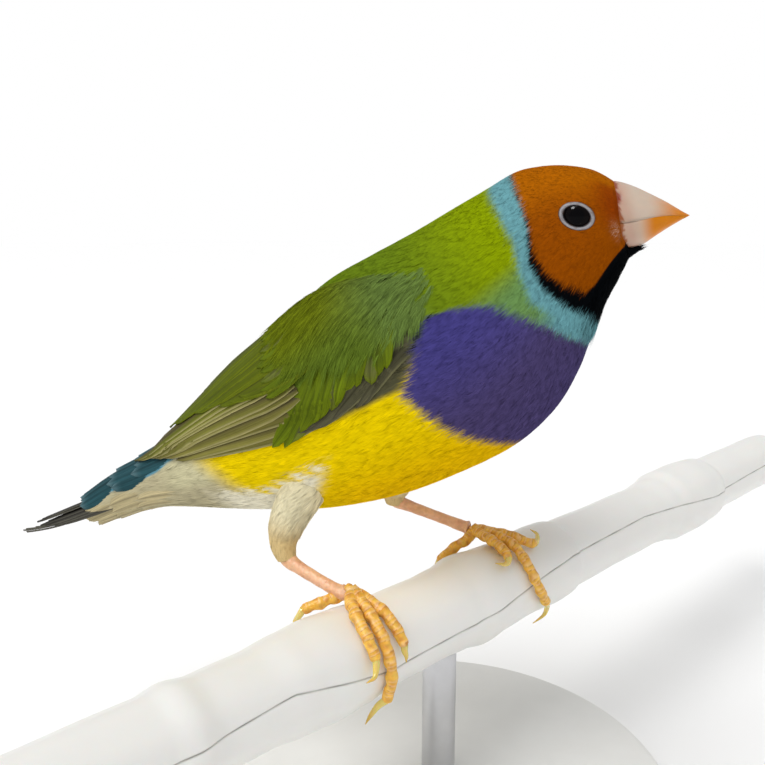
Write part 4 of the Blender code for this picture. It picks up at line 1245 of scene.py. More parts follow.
# Rows: tip x, distance from the middle and z, the root's distance from the middle, half width
TAIL_FEATHERS = (
    (-79.8, 0.5, 9.9, 0.8, 1.4), (-81.0, 0.8, 9.3, 1.2, 1.2), (-80.0, 1.3, 8.8, 1.8, 1.2),
    (-78.2, 2.0, 9.2, 2.6, 1.3), (-76.4, 2.5, 9.6, 3.0, 1.2), (-74.2, 2.9, 10.2, 3.4, 1.2),
)
TAIL_HAIRS = ((-84.4, 0.4, 6.2), (-82.9, 1.4, 6.4))
HAIR_HALF_WIDTH, HAIR_SAG = 0.045, -0.9
COVERT_HALF_WIDTH = 1.9
TAIL_ROOT = (-58.0, 19.8)
LAYER_DROP = 0.5
SLATE = linear(39, 76, 83)
SLATE_TIP = linear(101, 131, 137)
CREAM = linear(178, 165, 127)
TAIL_DARK = linear(48, 46, 42)
TAIL_EDGE = linear(92, 90, 80)


def both_sides(angles):
    """Angles and their mirror images, with the midline ones once."""
    return sorted({angle * mirror for angle in angles for mirror in (1, -1)} - {-180})


tail_vanes = []
for rows, base, edge, end, rise in (
    (UPPER_COVERTS, SLATE, SLATE * 1.25, SLATE_TIP, (-0.3, 0.7)),
    (UNDER_COVERTS, CREAM, CREAM * 1.05, CREAM, (-0.3, 0.5)),
):
    for start, end_station, angles in rows:
        for angle in both_sides(angles):
            tip = (end_station + chance.normal(0, 0.08), angle * 0.97)
            points = body_vane((start, angle or 0.01), tip, COVERT_HALF_WIDTH, rise, 0.0, 3.4)
            tail_vanes.append((points, vane_paint(base * chance.normal(1, 0.06), edge, end)))
for layer, (tip_x, tip_y, tip_z, root_y, half_width) in enumerate(TAIL_FEATHERS):
    for mirror in (1, -1):
        root = (TAIL_ROOT[0], -root_y * mirror, TAIL_ROOT[1] - LAYER_DROP * layer)
        upward = (-0.4, -0.16 * layer * mirror, 1.0)
        points = straight_vane(root, (tip_x, -tip_y * mirror, tip_z), upward, half_width, 3.0)
        tail_vanes.append((points, vane_paint(TAIL_DARK, TAIL_EDGE, TAIL_DARK)))
for tip_x, tip_y, tip_z in TAIL_HAIRS:
    for mirror in (1, -1):
        root = (tip_x + 9.0, -tip_y * mirror * 0.8, tip_z + 3.4)
        tip = (tip_x, -tip_y * mirror, tip_z)
        points = straight_vane(root, tip, (-0.4, 0.0, 1.0), HAIR_HALF_WIDTH, 2.0, sag=HAIR_SAG)
        tail_vanes.append((points, vane_paint(TAIL_EDGE, TAIL_EDGE, TAIL_EDGE)))
vane_piece("tail_feathers", tail_vanes, streaked)

# %% [markdown]
# The eye is a dark glossy ball behind an almond opening, rimmed by bare blue-grey skin with
# tiny beads. The rim is a grid wrapped into a ring: its inner edge lies on the ball and its
# outer edge on the skin of the head.

# %% The eyes
OPENING_HALF_LENGTH, OPENING_HALF_HEIGHT = 1.86, 1.38
BALL_RADIUS_SEEN, BALL_FRONT = 3.2, 8.62
RIM_RISE, RIM_OVER_SKIN, RIM_SUNK = 0.22, 0.12, 0.1
RIM_THICKNESS = 0.1
RIM_COLOUR = linear(150, 147, 150)
RIM_INNER = linear(26, 20, 22)
RIM_OUTER = linear(84, 52, 26)
PUPIL_DARK = linear(6, 5, 7)
IRIS_DARK = linear(13, 9, 9)
BALL_SHAPE, RIM_SHAPE = (61, 65), (97, 14)
OPENING_EASE = 1.06
eye_finish = finish("eye_gloss", 0.03, 400.0, 0.3, 0.0, (("IOR", 1.33), ("Specular IOR Level", 0.1)))
rim_finish = finish("eye_rim", 0.6, 1800.0, 0.1, 0.00006, (("Specular IOR Level", 0.2),))


def oval(turn, half_length, half_height):
    """How far an oval's edge is from its middle in the direction of an angle."""
    return 1 / np.hypot(np.cos(turn) / half_length, np.sin(turn) / half_height)


def eye_ball(mirror):
    """Rows of points of the ball with its pole facing out, kept in the opening, and their colours."""
    centre = np.array((EYE_CENTRE[0], -mirror * (BALL_FRONT - BALL_RADIUS_SEEN), EYE_CENTRE[2]))
    rows, columns = BALL_SHAPE
    polar, turn = rows_and_columns(np.linspace(0.5, 179.5, rows), np.linspace(0, 360, columns))
    polar, turn = np.radians(polar), np.radians(turn)
    opening = oval(turn - math.radians(EYE_TILT), OPENING_HALF_LENGTH, OPENING_HALF_HEIGHT)
    reach = np.minimum(np.sin(polar), opening * OPENING_EASE / BALL_RADIUS_SEEN)
    outward = np.stack([reach * np.cos(turn), -mirror * np.cos(polar), reach * np.sin(turn)], -1)
    iris = eased(polar, 0.3, 0.4) * (1 - eased(polar, 0.6, 0.8))
    return centre + outward * BALL_RADIUS_SEEN, mixed(PUPIL_DARK, IRIS_DARK, iris)


def head_side(x, z):
    """How far the side of the head stands out from the midplane at these places."""
    stations, angles = np.meshgrid(np.linspace(0.3, 4.2, 118), np.linspace(30, 130, 101))
    shell = body_point(stations, angles).reshape(-1, 3)
    gap = (x.reshape(-1, 1) - shell[:, 0]) ** 2 + (z.reshape(-1, 1) - shell[:, 2]) ** 2
    near = np.argsort(gap, axis=1)[:, :4]
    weight = 1 / (np.take_along_axis(gap, near, 1) + 1e-4)
    return ((-shell[:, 1][near] * weight).sum(1) / weight.sum(1)).reshape(x.shape)


def eye_rim(mirror):
    """Rows of points round the opening, from the ball out to the skin."""
    rows, columns = RIM_SHAPE
    turn, share = rows_and_columns(np.radians(np.linspace(0, 360, rows)), np.linspace(0, 1, columns))
    tilt = math.radians(EYE_TILT)
    inner = oval(turn, OPENING_HALF_LENGTH, OPENING_HALF_HEIGHT)
    outer = oval(turn, RIM_HALF_LENGTH, RIM_HALF_HEIGHT)
    reach = inner + (outer - inner) * share
    forward, up = reach * np.cos(turn), reach * np.sin(turn)
    x = forward * math.cos(tilt) - up * math.sin(tilt)
    z = forward * math.sin(tilt) + up * math.cos(tilt)
    ball = BALL_FRONT - BALL_RADIUS_SEEN + np.sqrt(BALL_RADIUS_SEEN ** 2 - inner ** 2)
    head = head_side(EYE_CENTRE[0] + x, EYE_CENTRE[2] + z) - RIM_OVER_SKIN
    beads = 1 + 0.2 * np.sin(turn * 34) * np.sin(share * math.pi)
    out = ball - RIM_SUNK + (head - ball + RIM_SUNK) * eased(share, -0.25, 0.85)
    out = out + RIM_RISE * np.sin(math.pi * share ** 0.8) * beads
    points = np.stack([EYE_CENTRE[0] + x, -mirror * out, EYE_CENTRE[2] + z], -1)
    colour = mixed(mixed(RIM_INNER, RIM_COLOUR, eased(share, 0.15, 0.42)), RIM_OUTER, eased(share, 0.7, 0.95))
    soiled = eased(np.sin(turn * 7 + 1.0) * np.sin(turn * 3 + share * 5), -0.1, 0.9)
    colour = mixed(colour, RIM_OUTER, soiled * 0.35)
    return points, colour


def laid(points, colour):
    """A new bmesh with one grid of points on it."""
    bundle = bmesh.new()
    laid_grid(bundle, in_metres(points), colour, map_places(*points.shape[:2]))
    return bundle


for side, mirror in SIDES.items():
    ball = laid(*eye_ball(mirror))
    closed_up(ball)
    new_piece("eye_ball_" + side, ball, eye_finish, ("eye_" + side,))
    rim = laid(*eye_rim(mirror))
    bmesh.ops.remove_doubles(rim, verts=rim.verts, dist=MERGE)
    bmesh.ops.solidify(rim, geom=rim.faces[:], thickness=RIM_THICKNESS * MM)
    bmesh.ops.recalc_face_normals(rim, faces=rim.faces)
    new_piece("eye_rim_" + side, rim, rim_finish)

# %% [markdown]
# The bill is a seed-eater's cone in two halves that meet in a line which dips at the gape. It is
# pale pinkish horn at the base and orange at the tip, with the orange running back along the
# lower half. Each half is an arch swept along its ridge. The nostril is a small pit, and the
# mask's feathers fray over the base, which is painted on the horn.

# %% The bill
# Rows of x and z along the top ridge, the mouth line and the lower ridge
CULMEN = ((24.4, 73.3), (26.2, 73.6), (28.6, 72.95), (31.3, 71.7), (33.7, 70.5), (35.9, 69.2), (37.2, 68.5))
MOUTH_LINE = (
    (26.3, 67.3), (28.3, 67.4), (30.2, 67.8), (32.0, 68.2), (34.0, 68.45), (35.9, 68.4), (36.9, 68.3),
)
GONYS = ((27.0, 62.9), (29.4, 63.5), (30.8, 64.2), (32.3, 65.3), (34.0, 66.5), (35.4, 67.4), (36.2, 67.9))
BILL_HALF_WIDTHS = (5.85, 4.75, 4.0, 3.2, 2.2, 1.2, 0.35)
BILL_SHAPE = (73, 41)
BILL_BASE = 1.6
ARCH_ROUND, LOWER_NARROW = 0.94, 0.992
NOSTRIL, NOSTRIL_SIZE, NOSTRIL_DEPTH = (26.9, 71.0), (0.34, 0.7), 0.35
MOUTH_GAP = 0.004
MASK_OVERLAP, MASK_RAGGED = 0.3, 0.13
HORN = linear(200, 181, 164)
HORN_PINK = linear(192, 160, 142)
HORN_ORANGE = linear(210, 124, 0)
NOSTRIL_RED_AND_SHADE = linear(150, 88, 80)
horn_finish = finish("bill_horn", 0.32, 900.0, 0.05, 0.00003,
                     (("Subsurface Weight", 0.15), ("Subsurface Scale", 0.001), ("Specular IOR Level", 0.15)))


def bill_half(ridge, lower):
    """Rows of points of one half of the bill, from inside the face to the tip, and colours."""
    rows, columns = BILL_SHAPE
    place, turn = rows_and_columns(np.linspace(0, len(ridge) - 1, rows), np.linspace(0, math.pi, columns))
    edge_x, edge_z = np.moveaxis(smooth_rows(MOUTH_LINE, place), -1, 0)
    ridge_x, ridge_z = np.moveaxis(smooth_rows(ridge, place), -1, 0)
    half = smooth_rows(np.array(BILL_HALF_WIDTHS)[:, None], place)[..., 0]
    sign = -1.0 if lower else 1.0
    high = np.sin(turn) ** ARCH_ROUND
    across = np.cos(turn) * half * (LOWER_NARROW if lower else 1.0)
    x = edge_x + (ridge_x - edge_x) * high
    z = edge_z + sign * MOUTH_GAP + (ridge_z - edge_z - sign * MOUTH_GAP) * high
    pit = ((x - NOSTRIL[0]) / NOSTRIL_SIZE[0]) ** 2 + ((z - NOSTRIL[1]) / NOSTRIL_SIZE[1]) ** 2
    pit = np.exp(-pit) * (0 if lower else 1)
    across = across - np.sign(across) * pit * NOSTRIL_DEPTH
    points = np.stack([x, across, z], -1)
    share = np.clip((place - 1) / 5, 0, 1)
    if lower:
        orange = eased(share, 0.08, 0.42)
    else:
        mouth = eased(share, 0.3, 0.6) * (1 - eased(high, 0.02, 0.25)) * 0.7
        ridge_line = eased(high, 0.9, 1.0) * eased(share, 0.15, 0.5) * 0.6
        orange = np.maximum(np.maximum(eased(share, 0.3, 0.8) * 0.95, mouth), ridge_line)
    base = mixed(HORN_PINK, HORN, eased(share, 0.0, 0.22))
    colour = mixed(base, HORN_ORANGE, orange)
    # The nostril is painted reddish and darker: its own skin colour and painted shade in the pit
    colour = mixed(colour, NOSTRIL_RED_AND_SHADE, np.clip(pit * 1.1, 0, 1))
    # Painted shade: the colour darkens a little along the mouth line, where the two halves meet
    colour = colour * (0.96 + 0.04 * eased(np.sin(turn), 0.0, 0.1))[..., None]
    ragged = MASK_OVERLAP + MASK_RAGGED * (np.sin(turn * 13.0) + np.sin(turn * 29.0 + sign))
    mask = mixed(np.broadcast_to(ORANGE_CHEEK, points.shape), RED_LORES, eased(z, 67.0, 71.0))
    ahead = x - read_line(FACE_EDGE, z)
    colour = mixed(colour, mask, (1 - eased(ahead, ragged, ragged + 0.2)) * 0.85)
    first = np.stack([x[:1] - BILL_BASE, across[:1], z[:1]], -1)
    return np.concatenate([first, points]), np.concatenate([colour[:1], colour])


for name, ridge, lower in (("bill_upper", CULMEN, False), ("bill_lower", GONYS, True)):
    half = laid(*bill_half(ridge, lower))
    bmesh.ops.remove_doubles(half, verts=half.verts, dist=MERGE)
    bmesh.ops.holes_fill(half, edges=half.edges, sides=0)
    bmesh.ops.recalc_face_normals(half, faces=half.faces)
    new_piece(name + "_horn", half, horn_finish, (name,))

# %% [markdown]
# Under the lower half of the bill the black bib runs forward in a ragged fringe of short, hairy
# feathers. They are grown on a small strip of their own that follows the bill's underside.

# %% The chin's fringe
CHIN_START, CHIN_END = np.array((25.6, 0.0, 62.6)), np.array((30.2, 0.0, 63.85))
CHIN_HALF_WIDTHS, CHIN_DEPTHS = (5.0, 1.5), (2.8, 0.45)
CHIN_TOP = 0.2
CHIN_SUNK = 0.15
CHIN_FEATHERS, CHIN_BARBS = 900, 7


def chin_point(along, degrees, height=0.0):
    """Points of the strip: along it from 0 to 1, an angle from straight down, and a height off it."""
    along, degrees, height = np.broadcast_arrays(np.asarray(along, float), degrees, height)
    wide = np.interp(along, (0.0, 1.0), CHIN_HALF_WIDTHS) + height * 0.6
    deep = np.interp(along, (0.0, 1.0), CHIN_DEPTHS) + height
    turn = np.radians(degrees)
    deep = deep * np.where(np.cos(turn) > 0, 1.0, CHIN_TOP)
    side = np.stack([0.15 * height, -np.sin(turn) * wide, -np.cos(turn) * deep], -1)
    return CHIN_START + (CHIN_END - CHIN_START) * along[..., None] + side


share, turn = rows_and_columns(np.linspace(0, 1, 12), np.linspace(-180, 180, 33))
chin = laid(chin_point(share, turn, -CHIN_SUNK), BIB_BLACK)
closed_up(chin)
new_piece("chin_skin", chin, skin_finish)
roots = (chance.uniform(0.0, 0.9, CHIN_FEATHERS), chance.uniform(-88, 88, CHIN_FEATHERS))
sizes = (
    chance.normal(1.4, 0.2, CHIN_FEATHERS),
    np.full(CHIN_FEATHERS, 0.3),
    chance.uniform(0.1, 0.32, CHIN_FEATHERS),
    chance.normal(14, 10, CHIN_FEATHERS),
    np.full(CHIN_FEATHERS, 1.0),
)
grown = grow_coat(
    chin_point,
    lambda along, around: np.broadcast_to(BIB_BLACK, (*along.shape, 3)),
    lambda along, around: (0.3 + around / 900, 0.02 + along * 0.04),
    roots, sizes, CHIN_BARBS, around_step=2.0,
)
coat_piece("coat_chin", grown)

# %% [markdown]
# The perch is a moulded white rod with swollen knuckles and a grey mould seam. It is a tube of
# rings whose radius follows a smooth profile, pressed in a little along the seam. Its axis runs
# level at a set heading, and places on it are a distance along it and an angle from its top.

# %% The perch
PERCH_HEADING = 59.6
# Rows of distance along the perch and radius
PERCH_PROFILE = np.array([
    (-76.0, 6.9), (-57.0, 7.0), (-53.0, 7.6), (-49.0, 7.0), (-41.0, 7.1), (-34.0, 7.7), (-28.0, 8.0),
    (-22.0, 7.8), (-16.0, 7.3), (-4.0, 7.3), (2.0, 7.6), (7.0, 8.3), (13.0, 7.9), (22.0, 7.6), (30.0, 8.0),
    (33.0, 7.9), (35.0, 7.1), (52.0, 6.9), (70.0, 6.9), (76.0, 7.4), (81.0, 8.3), (90.0, 8.5), (97.0, 8.1),
    (101.0, 6.9), (120.0, 6.8), (140.0, 6.8),
])
PERCH_START, PERCH_END = PERCH_PROFILE[0, 0], PERCH_PROFILE[-1, 0]
PERCH_RINGS = 300
# Rows of distance along the perch and the seam's angle there
SEAM = np.array([
    (-76, 82), (-53.5, 78), (-46, 73), (-38, 68), (-30, 80), (-18, 95), (1, 91), (31, 64), (61, 59),
    (94, 81), (140, 70),
])
# How the ends are rounded: distance from the end and how far the radius is cut back there
END_ROUNDING = np.array([(0.0, 0.6), (0.2, 0.25), (0.6, 0.05)])
SEAM_HALF_WIDTH, SEAM_DEPTH = 0.13, 0.14
PERCH_WHITE = linear(238, 237, 233)
SEAM_GREY = linear(150, 148, 140)
perch_finish = finish("perch_plastic", 0.38, 160.0, 0.02, 0.00005,
                      (("Subsurface Weight", 0.1), ("Subsurface Scale", 0.003), ("Coat Weight", 0.1)))

heading = math.radians(PERCH_HEADING)
PERCH_ALONG = np.array((math.cos(heading), math.sin(heading), 0.0))
PERCH_FRONT = np.array((math.sin(heading), -math.cos(heading), 0.0))


def perch_radius(along):
    """The perch's radius, eased between the rows of its profile."""
    places, radii = PERCH_PROFILE.T
    index = np.clip(np.searchsorted(places, along) - 1, 0, len(places) - 2)
    part = eased(along, places[index], places[index + 1])
    return radii[index] + (radii[index + 1] - radii[index]) * part


def perch_point(along, degrees, radius):
    """Points round the perch, their angle counted from its top towards the front."""
    along, degrees, radius = np.broadcast_arrays(np.asarray(along, float), degrees, radius)
    turn = np.radians(degrees)
    up = np.array((0.0, 0.0, 1.0))
    across = PERCH_FRONT * np.sin(turn)[..., None] + up * np.cos(turn)[..., None]
    return PERCH_ALONG * along[..., None] + across * radius[..., None]


from_end, cut = END_ROUNDING.T
middle = np.linspace(PERCH_START + 1, PERCH_END - 1, PERCH_RINGS)
along_rows = np.concatenate([PERCH_START + from_end, middle, PERCH_END - from_end[::-1]])
end_cut = np.concatenate([cut, np.zeros(PERCH_RINGS), cut[::-1]])
near_seam, near_far_seam = (0.0, 0.5, 1.0, 1.6, 2.4, 4.0), (176.0, 177.6, 178.4, 179.0, 179.5)
half_turn = np.concatenate([near_seam, np.linspace(6.5, 173.5, 60), near_far_seam])
from_line = np.concatenate([half_turn, half_turn + 180, (360.0,)])
along, offset = rows_and_columns(along_rows, from_line)
degrees = read_line(SEAM, along) + offset
from_seam = np.abs((offset + 90) % 180 - 90) * perch_radius(along) * math.pi / 180
facets = 0.07 * np.cos(np.radians(degrees * 7)) + 0.04 * np.sin(along * 0.35 + np.radians(degrees) * 2)
groove = np.exp(-(from_seam / SEAM_HALF_WIDTH) ** 2)
radius = perch_radius(along) + facets - SEAM_DEPTH * groove - end_cut[:, None]
shade = mixed(PERCH_WHITE, SEAM_GREY, groove * (0.8 + 0.2 * np.sin(along * 0.8 + 1.0)))
perch = laid(perch_point(along, degrees, radius), shade)
closed_up(perch)
new_piece("perch_moulding", perch, perch_finish, ("perch",))

# %% [markdown]
# Each leg is a bare, scaled shank and a foot of four toes that wrap the perch, three in front
# and one behind. The toes are tubes whose outer side is stepped into scutes, and each ends in a
# curved claw of clear yellow horn. The paths follow those of the solids, except that the right
# hind claw is turned a little.

# %% The legs' paths
# Rows down each shank: x, distance outward, z and radius
TARSI = {
    "right": ((-23.7, 13.0, 14.2, 1.3), (-23.2, 13.2, 12.7, 1.4), (-21.2, 13.9, 11.7, 1.1),
              (-16.0, 15.7, 10.2, 1.0), (-12.6, 17.0, 9.6, 1.15)),
    "left": ((-12.2, 13.6, 16.2, 1.3), (-11.4, 13.8, 14.9, 1.4), (-9.2, 14.1, 14.0, 1.1),
             (-3.0, 15.0, 11.8, 1.0), (1.2, 15.6, 10.3, 1.15)),
}
TOE_RADIUS, CLAW_RADIUS, BALL_RADIUS = 1.0, 0.6, 1.75
TOE_CLEAR = 0.2
# A toe's places and then its claw's: distance along the perch, angle from its top, lift off it
FEET = {
    "right": {
        "ball": (-20.2, -6.0, 0.4),
        "middle": (((-20.4, 8.0, 0.3), (-21.2, 34.0, 0.1), (-21.3, 62.0, 0.0), (-21.1, 92.0, 0.0),
                    (-21.2, 118.0, 0.1)),
                   ((-21.6, 133.0, 0.3), (-22.8, 142.0, 1.0), (-24.6, 139.0, 1.6))),
        "inner": (((-19.2, 6.0, 0.3), (-18.4, 30.0, 0.1), (-17.9, 52.0, 0.0), (-17.6, 66.0, 0.0)),
                  ((-17.4, 75.0, 0.1), (-17.2, 82.0, 0.1), (-17.2, 89.0, 0.0))),
        "outer": (((-21.8, 4.0, 0.2), (-23.6, 26.0, 0.1), (-24.0, 48.0, 0.0), (-24.0, 66.0, 0.0)),
                  ((-24.2, 76.0, 0.3), (-25.0, 83.0, 0.5), (-26.7, 84.0, 0.5))),
        "hind": (((-21.2, -20.0, 0.3), (-23.2, -26.0, 0.1), (-25.8, -38.0, 0.1)),
                 ((-26.2, -50.0, 0.2), (-26.2, -62.0, 0.3), (-26.0, -74.0, 0.1))),
    },
    "left": {
        "ball": (15.0, -26.0, 1.3),
        "middle": (((15.8, -8.0, 0.8), (16.4, 20.0, 0.3), (16.2, 48.0, 0.0), (17.0, 76.0, 0.0),
                    (19.4, 100.0, 0.1)),
                   ((21.6, 116.0, 0.2), (22.2, 132.0, 0.6), (20.4, 144.0, 0.9))),
        "inner": (((17.0, -12.0, 0.8), (18.8, 8.0, 0.4), (20.0, 20.0, 0.1), (21.4, 28.0, 0.1)),
                  ((23.2, 26.0, 0.3), (24.6, 18.0, 0.4), (25.0, 6.0, 0.3))),
        "outer": (((14.4, -12.0, 0.7), (13.6, 6.0, 0.4), (13.4, 22.0, 0.1), (12.8, 32.0, 0.1)),
                  ((11.6, 38.0, 0.4), (10.2, 38.0, 0.6), (8.6, 33.0, 0.5))),
        "hind": (((13.4, -34.0, 0.6), (11.2, -44.0, 0.2), (9.6, -62.0, 0.1)),
                 ((8.6, -76.0, 0.2), (8.0, -88.0, 0.3), (7.8, -100.0, 0.1))),
    },
}
print("places on the perch for a middle toe and its claw:", [len(row) for row in FEET["right"]["middle"]])

# %% The legs' finishes
SHANK = linear(238, 186, 150)
TOE_ORANGE = linear(242, 182, 62)
AMBER = linear(250, 212, 100)
RUDDY = linear(186, 104, 58)
# Scutes get a pale rim, partly painted highlight on their raised edge, and a crease darkened as painted shade
SCUTE_RIM_AND_HIGHLIGHT = linear(246, 206, 160)
CREASE_SHADE = linear(176, 98, 40)
CLAW_YELLOW = linear(228, 208, 110)
CLAW_TIP = linear(206, 176, 72)
leg_finish = finish("leg_skin", 0.42, 1300.0, 0.24, 0.0003,
                    (("Subsurface Weight", 0.1), ("Subsurface Scale", 0.0006), ("Specular IOR Level", 0.3)))
claw_finish = finish("claw_horn", 0.25, 900.0, 0.08, 0.00002,
                     (("Subsurface Weight", 0.4), ("Subsurface Scale", 0.001), ("Coat Weight", 0.3)))
print("finishes of the legs:", leg_finish.name, claw_finish.name)

# %% Tubes with scutes
SCUTE_LENGTH, SCUTE_STEP = 0.9, 0.035
PAD_LENGTH, PAD_RISE = 2.6, 0.1
WART_RISE = 0.025
JOINT_SWELL = 0.1
TUBE_COLUMNS = 25


def leg_paint(shape, colour, gone, turn, plates, start, scutes):
    """Blotches over all the skin, and at every scute a pale rim that is partly painted highlight and a crease
    darkened as painted shade.
    """
    phase, front = plates
    drawn = gone * (0.25 + 0.75 * scutes)
    blotch = 0.5 + 0.5 * np.sin(drawn * 2.1 + turn * 2) * np.sin(drawn * 0.9 - turn)
    paint = mixed(np.broadcast_to(colour, shape), AMBER, blotch * 0.6 * scutes)
    bend = 2.0 * np.sin(drawn * 0.9 + start[1])
    ruddy = 0.5 + 0.5 * np.sin(drawn * 2.3 + bend + turn + start[2]) * np.sin(drawn * 1.1 - turn * 2)
    paint = mixed(paint, RUDDY, ruddy ** 2 * (0.3 + 0.25 * scutes))
    # Pale rims partly painted highlight on the raised edges, creases darkened as painted shade
    paint = mixed(paint, SCUTE_RIM_AND_HIGHLIGHT, eased(phase, 0.5, 0.95) * front * 0.55 * scutes)
    return mixed(paint, CREASE_SHADE, (1 - eased(phase, 0.0, 0.18)) * front * 0.55 * scutes)


def tube_grid(path, radii, outward, steps, columns=TUBE_COLUMNS, scutes=1.0, colour=TOE_ORANGE):
    """Rows of points of a tube whose first side faces outward, with scutes along that side."""
    share = np.linspace(0, len(path) - 1, steps)
    rows = smooth_rows(np.column_stack([path, radii, outward]), share)
    line, radius, face = rows[:, :3], rows[:, 3], rows[:, 4:]
    ahead = unit(np.gradient(line, axis=0))
    face = unit(face - ahead * (face * ahead).sum(1, keepdims=True))
    side = np.cross(ahead, face)
    start_x, start_y = path[0, :2]
    gone = travelled(line)
    wander = gone + 0.3 * np.sin(gone * 1.3 + start_x) + 0.2 * np.sin(gone * 2.9 + start_y)
    knuckles = 0.6 * np.sin(gone * 1.85 + 1.0 + start_x) + 0.4 * np.sin(gone * 3.1 + start_y)
    swell = (radius * (1 + JOINT_SWELL * scutes * knuckles))[:, None]
    gone = gone[:, None]
    turn = np.linspace(0, 2 * math.pi, columns)[None, :]
    front = eased(np.cos(turn), -0.1, 0.45)
    phase = (wander[:, None] + 0.1 * np.sin(turn * 2 + gone * 1.7)) / SCUTE_LENGTH % 1.0
    plate = (phase ** 1.5 - 0.4) * SCUTE_STEP * front
    pads = PAD_RISE * np.sin(gone * 2 * math.pi / PAD_LENGTH) * (1 - front)
    warts = WART_RISE * np.sin(turn * 3 + gone * 4.1) * np.sin(turn * 5 - gone * 2.3)
    reach = swell + (plate + pads + warts) * scutes
    around = face[:, None] * np.cos(turn)[..., None] + side[:, None] * np.sin(turn)[..., None]
    points = line[:, None] + around * reach[..., None]
    if not scutes:
        return points, np.broadcast_to(colour, points.shape)
    return points, leg_paint(points.shape, colour, gone, turn, (phase, front), path[0], scutes)


DOME_ANGLES = np.radians((25, 50, 72, 86))


def rounded(points, paint, radius):
    """Rows that close a tube with a dome past its last row."""
    middle = points[-1].mean(0)
    rim = points[-1] - middle
    ahead = unit(middle - points[-2].mean(0))
    caps = [middle + rim * math.cos(angle) + ahead * radius * math.sin(angle) for angle in DOME_ANGLES]
    return np.concatenate([points, caps]), np.concatenate([paint, np.repeat(paint[-1:], len(caps), 0)])


print("scutes to a centimetre:", round(10 / SCUTE_LENGTH))


# %% Toes on the perch
TOE_ROWS, TOE_TIP = 22, 0.7
CLAW_ROWS, CLAW_COLUMNS = 40, 17
CLAW_AHEAD, CLAW_TAPER = 0.35, 0.9


def toe_places(places, radius):
    """Points of a toe laid on the perch, and the directions out of the perch there."""
    along, degrees, lift = np.array(places, float).T
    near = np.max([perch_radius(along + side) for side in (-radius, 0.0, radius)], axis=0)
    reach = near + TOE_CLEAR + radius + lift
    return perch_point(along, degrees, reach), perch_point(0.0, degrees, 1.0)


def toe_and_claw(toe_plan, claw_plan, ball, ball_out):
    """Rows of points of one toe from the ball of the foot, its paint, and its claw's rows of points."""
    points, out = toe_places(toe_plan, TOE_RADIUS)
    knuckle = points[0] - (points[1] - points[0]) * 0.15
    path = np.vstack([ball + ball_out * 0.3, knuckle * 0.4 + ball * 0.6, points])
    radii = np.concatenate([[0.9, 1.05], np.linspace(1.0, 0.86, len(points)) * TOE_RADIUS])
    toe, paint = tube_grid(path, radii, np.vstack([ball_out, ball_out, out]), TOE_ROWS * len(path))
    toe, paint = rounded(toe, paint, TOE_TIP)
    claw_points, claw_out = toe_places(claw_plan, CLAW_RADIUS)
    path = np.vstack([points[-1] + unit(points[-1] - points[-2]) * CLAW_AHEAD, claw_points])
    radii = CLAW_RADIUS * (1 - CLAW_TAPER * np.linspace(0, 1, len(path)) ** 1.8)
    claw, _ = tube_grid(path, radii, np.vstack([out[-1:], claw_out]), CLAW_ROWS, CLAW_COLUMNS, scutes=0)
    return toe, paint, claw


print("left ball of the foot:", toe_places([FEET["left"]["ball"]], BALL_RADIUS)[0].round(1))

# %% Both legs
SHANK_ROWS, SHANK_SCUTES, SHANK_FOOT_RADIUS = 90, 0.2, 1.25
# Map places: the shank's first, then a strip for each toe, and a strip for each claw
SHANK_STRIP, FIRST_TOE, TOE_STRIP, TOE_MAP_WIDTH, LEG_MAP_TOP = 0.24, 0.26, 0.18, 0.16, 0.95
CLAW_STRIP, CLAW_MAP_WIDTH = 0.25, 0.22
claw_share = np.linspace(0, 1, CLAW_ROWS)[:, None] * np.ones((1, CLAW_COLUMNS))
claw_paint = mixed(CLAW_YELLOW, CLAW_TIP, claw_share ** 2)

for side, mirror in SIDES.items():
    plan = FEET[side]
    rows = np.array(TARSI[side]) * (1, -mirror, 1, 1)
    ball, ball_out = toe_places([plan["ball"]], BALL_RADIUS)
    path = np.vstack([rows[:, :3], ball * 0.5 + rows[-1:, :3] * 0.5])
    radii = np.append(rows[:, 3], SHANK_FOOT_RADIUS)
    up = np.tile((0.3, 0.0, 1.0), (len(path), 1))
    shank, paint = tube_grid(path, radii, up, SHANK_ROWS, scutes=SHANK_SCUTES, colour=SHANK)
    foot, claws = bmesh.new(), bmesh.new()
    places = map_places(SHANK_ROWS, TUBE_COLUMNS, high=(SHANK_STRIP, LEG_MAP_TOP))
    laid_grid(foot, in_metres(shank), paint, places)
    for number, name in enumerate(("middle", "inner", "outer", "hind")):
        toe, paint, claw = toe_and_claw(*plan[name], ball, ball_out)
        low = FIRST_TOE + TOE_STRIP * number
        places = map_places(len(toe), TUBE_COLUMNS, (low, 0.0), (low + TOE_MAP_WIDTH, LEG_MAP_TOP))
        laid_grid(foot, in_metres(toe), paint, places)
        low = CLAW_STRIP * number
        places = map_places(CLAW_ROWS, CLAW_COLUMNS, (low, 0.0), (low + CLAW_MAP_WIDTH, 1.0))
        laid_grid(claws, in_metres(claw), claw_paint, places)
    closed_up(foot)
    new_piece("leg_" + side, foot, leg_finish, ("tarsus_" + side, "foot_" + side))
    closed_up(claws)
    claw_nodes = [f"claw_{side}_{name}" for name in ("inner", "middle", "outer", "hind")]
    new_piece("claws_" + side, claws, claw_finish, claw_nodes)

# %% [markdown]
# The display stand is plain: a turned disc with a rounded rim and a slim rod up to the perch.
# Both start as cones of bmesh and are bevelled. Their places come from the frame's own boxes.

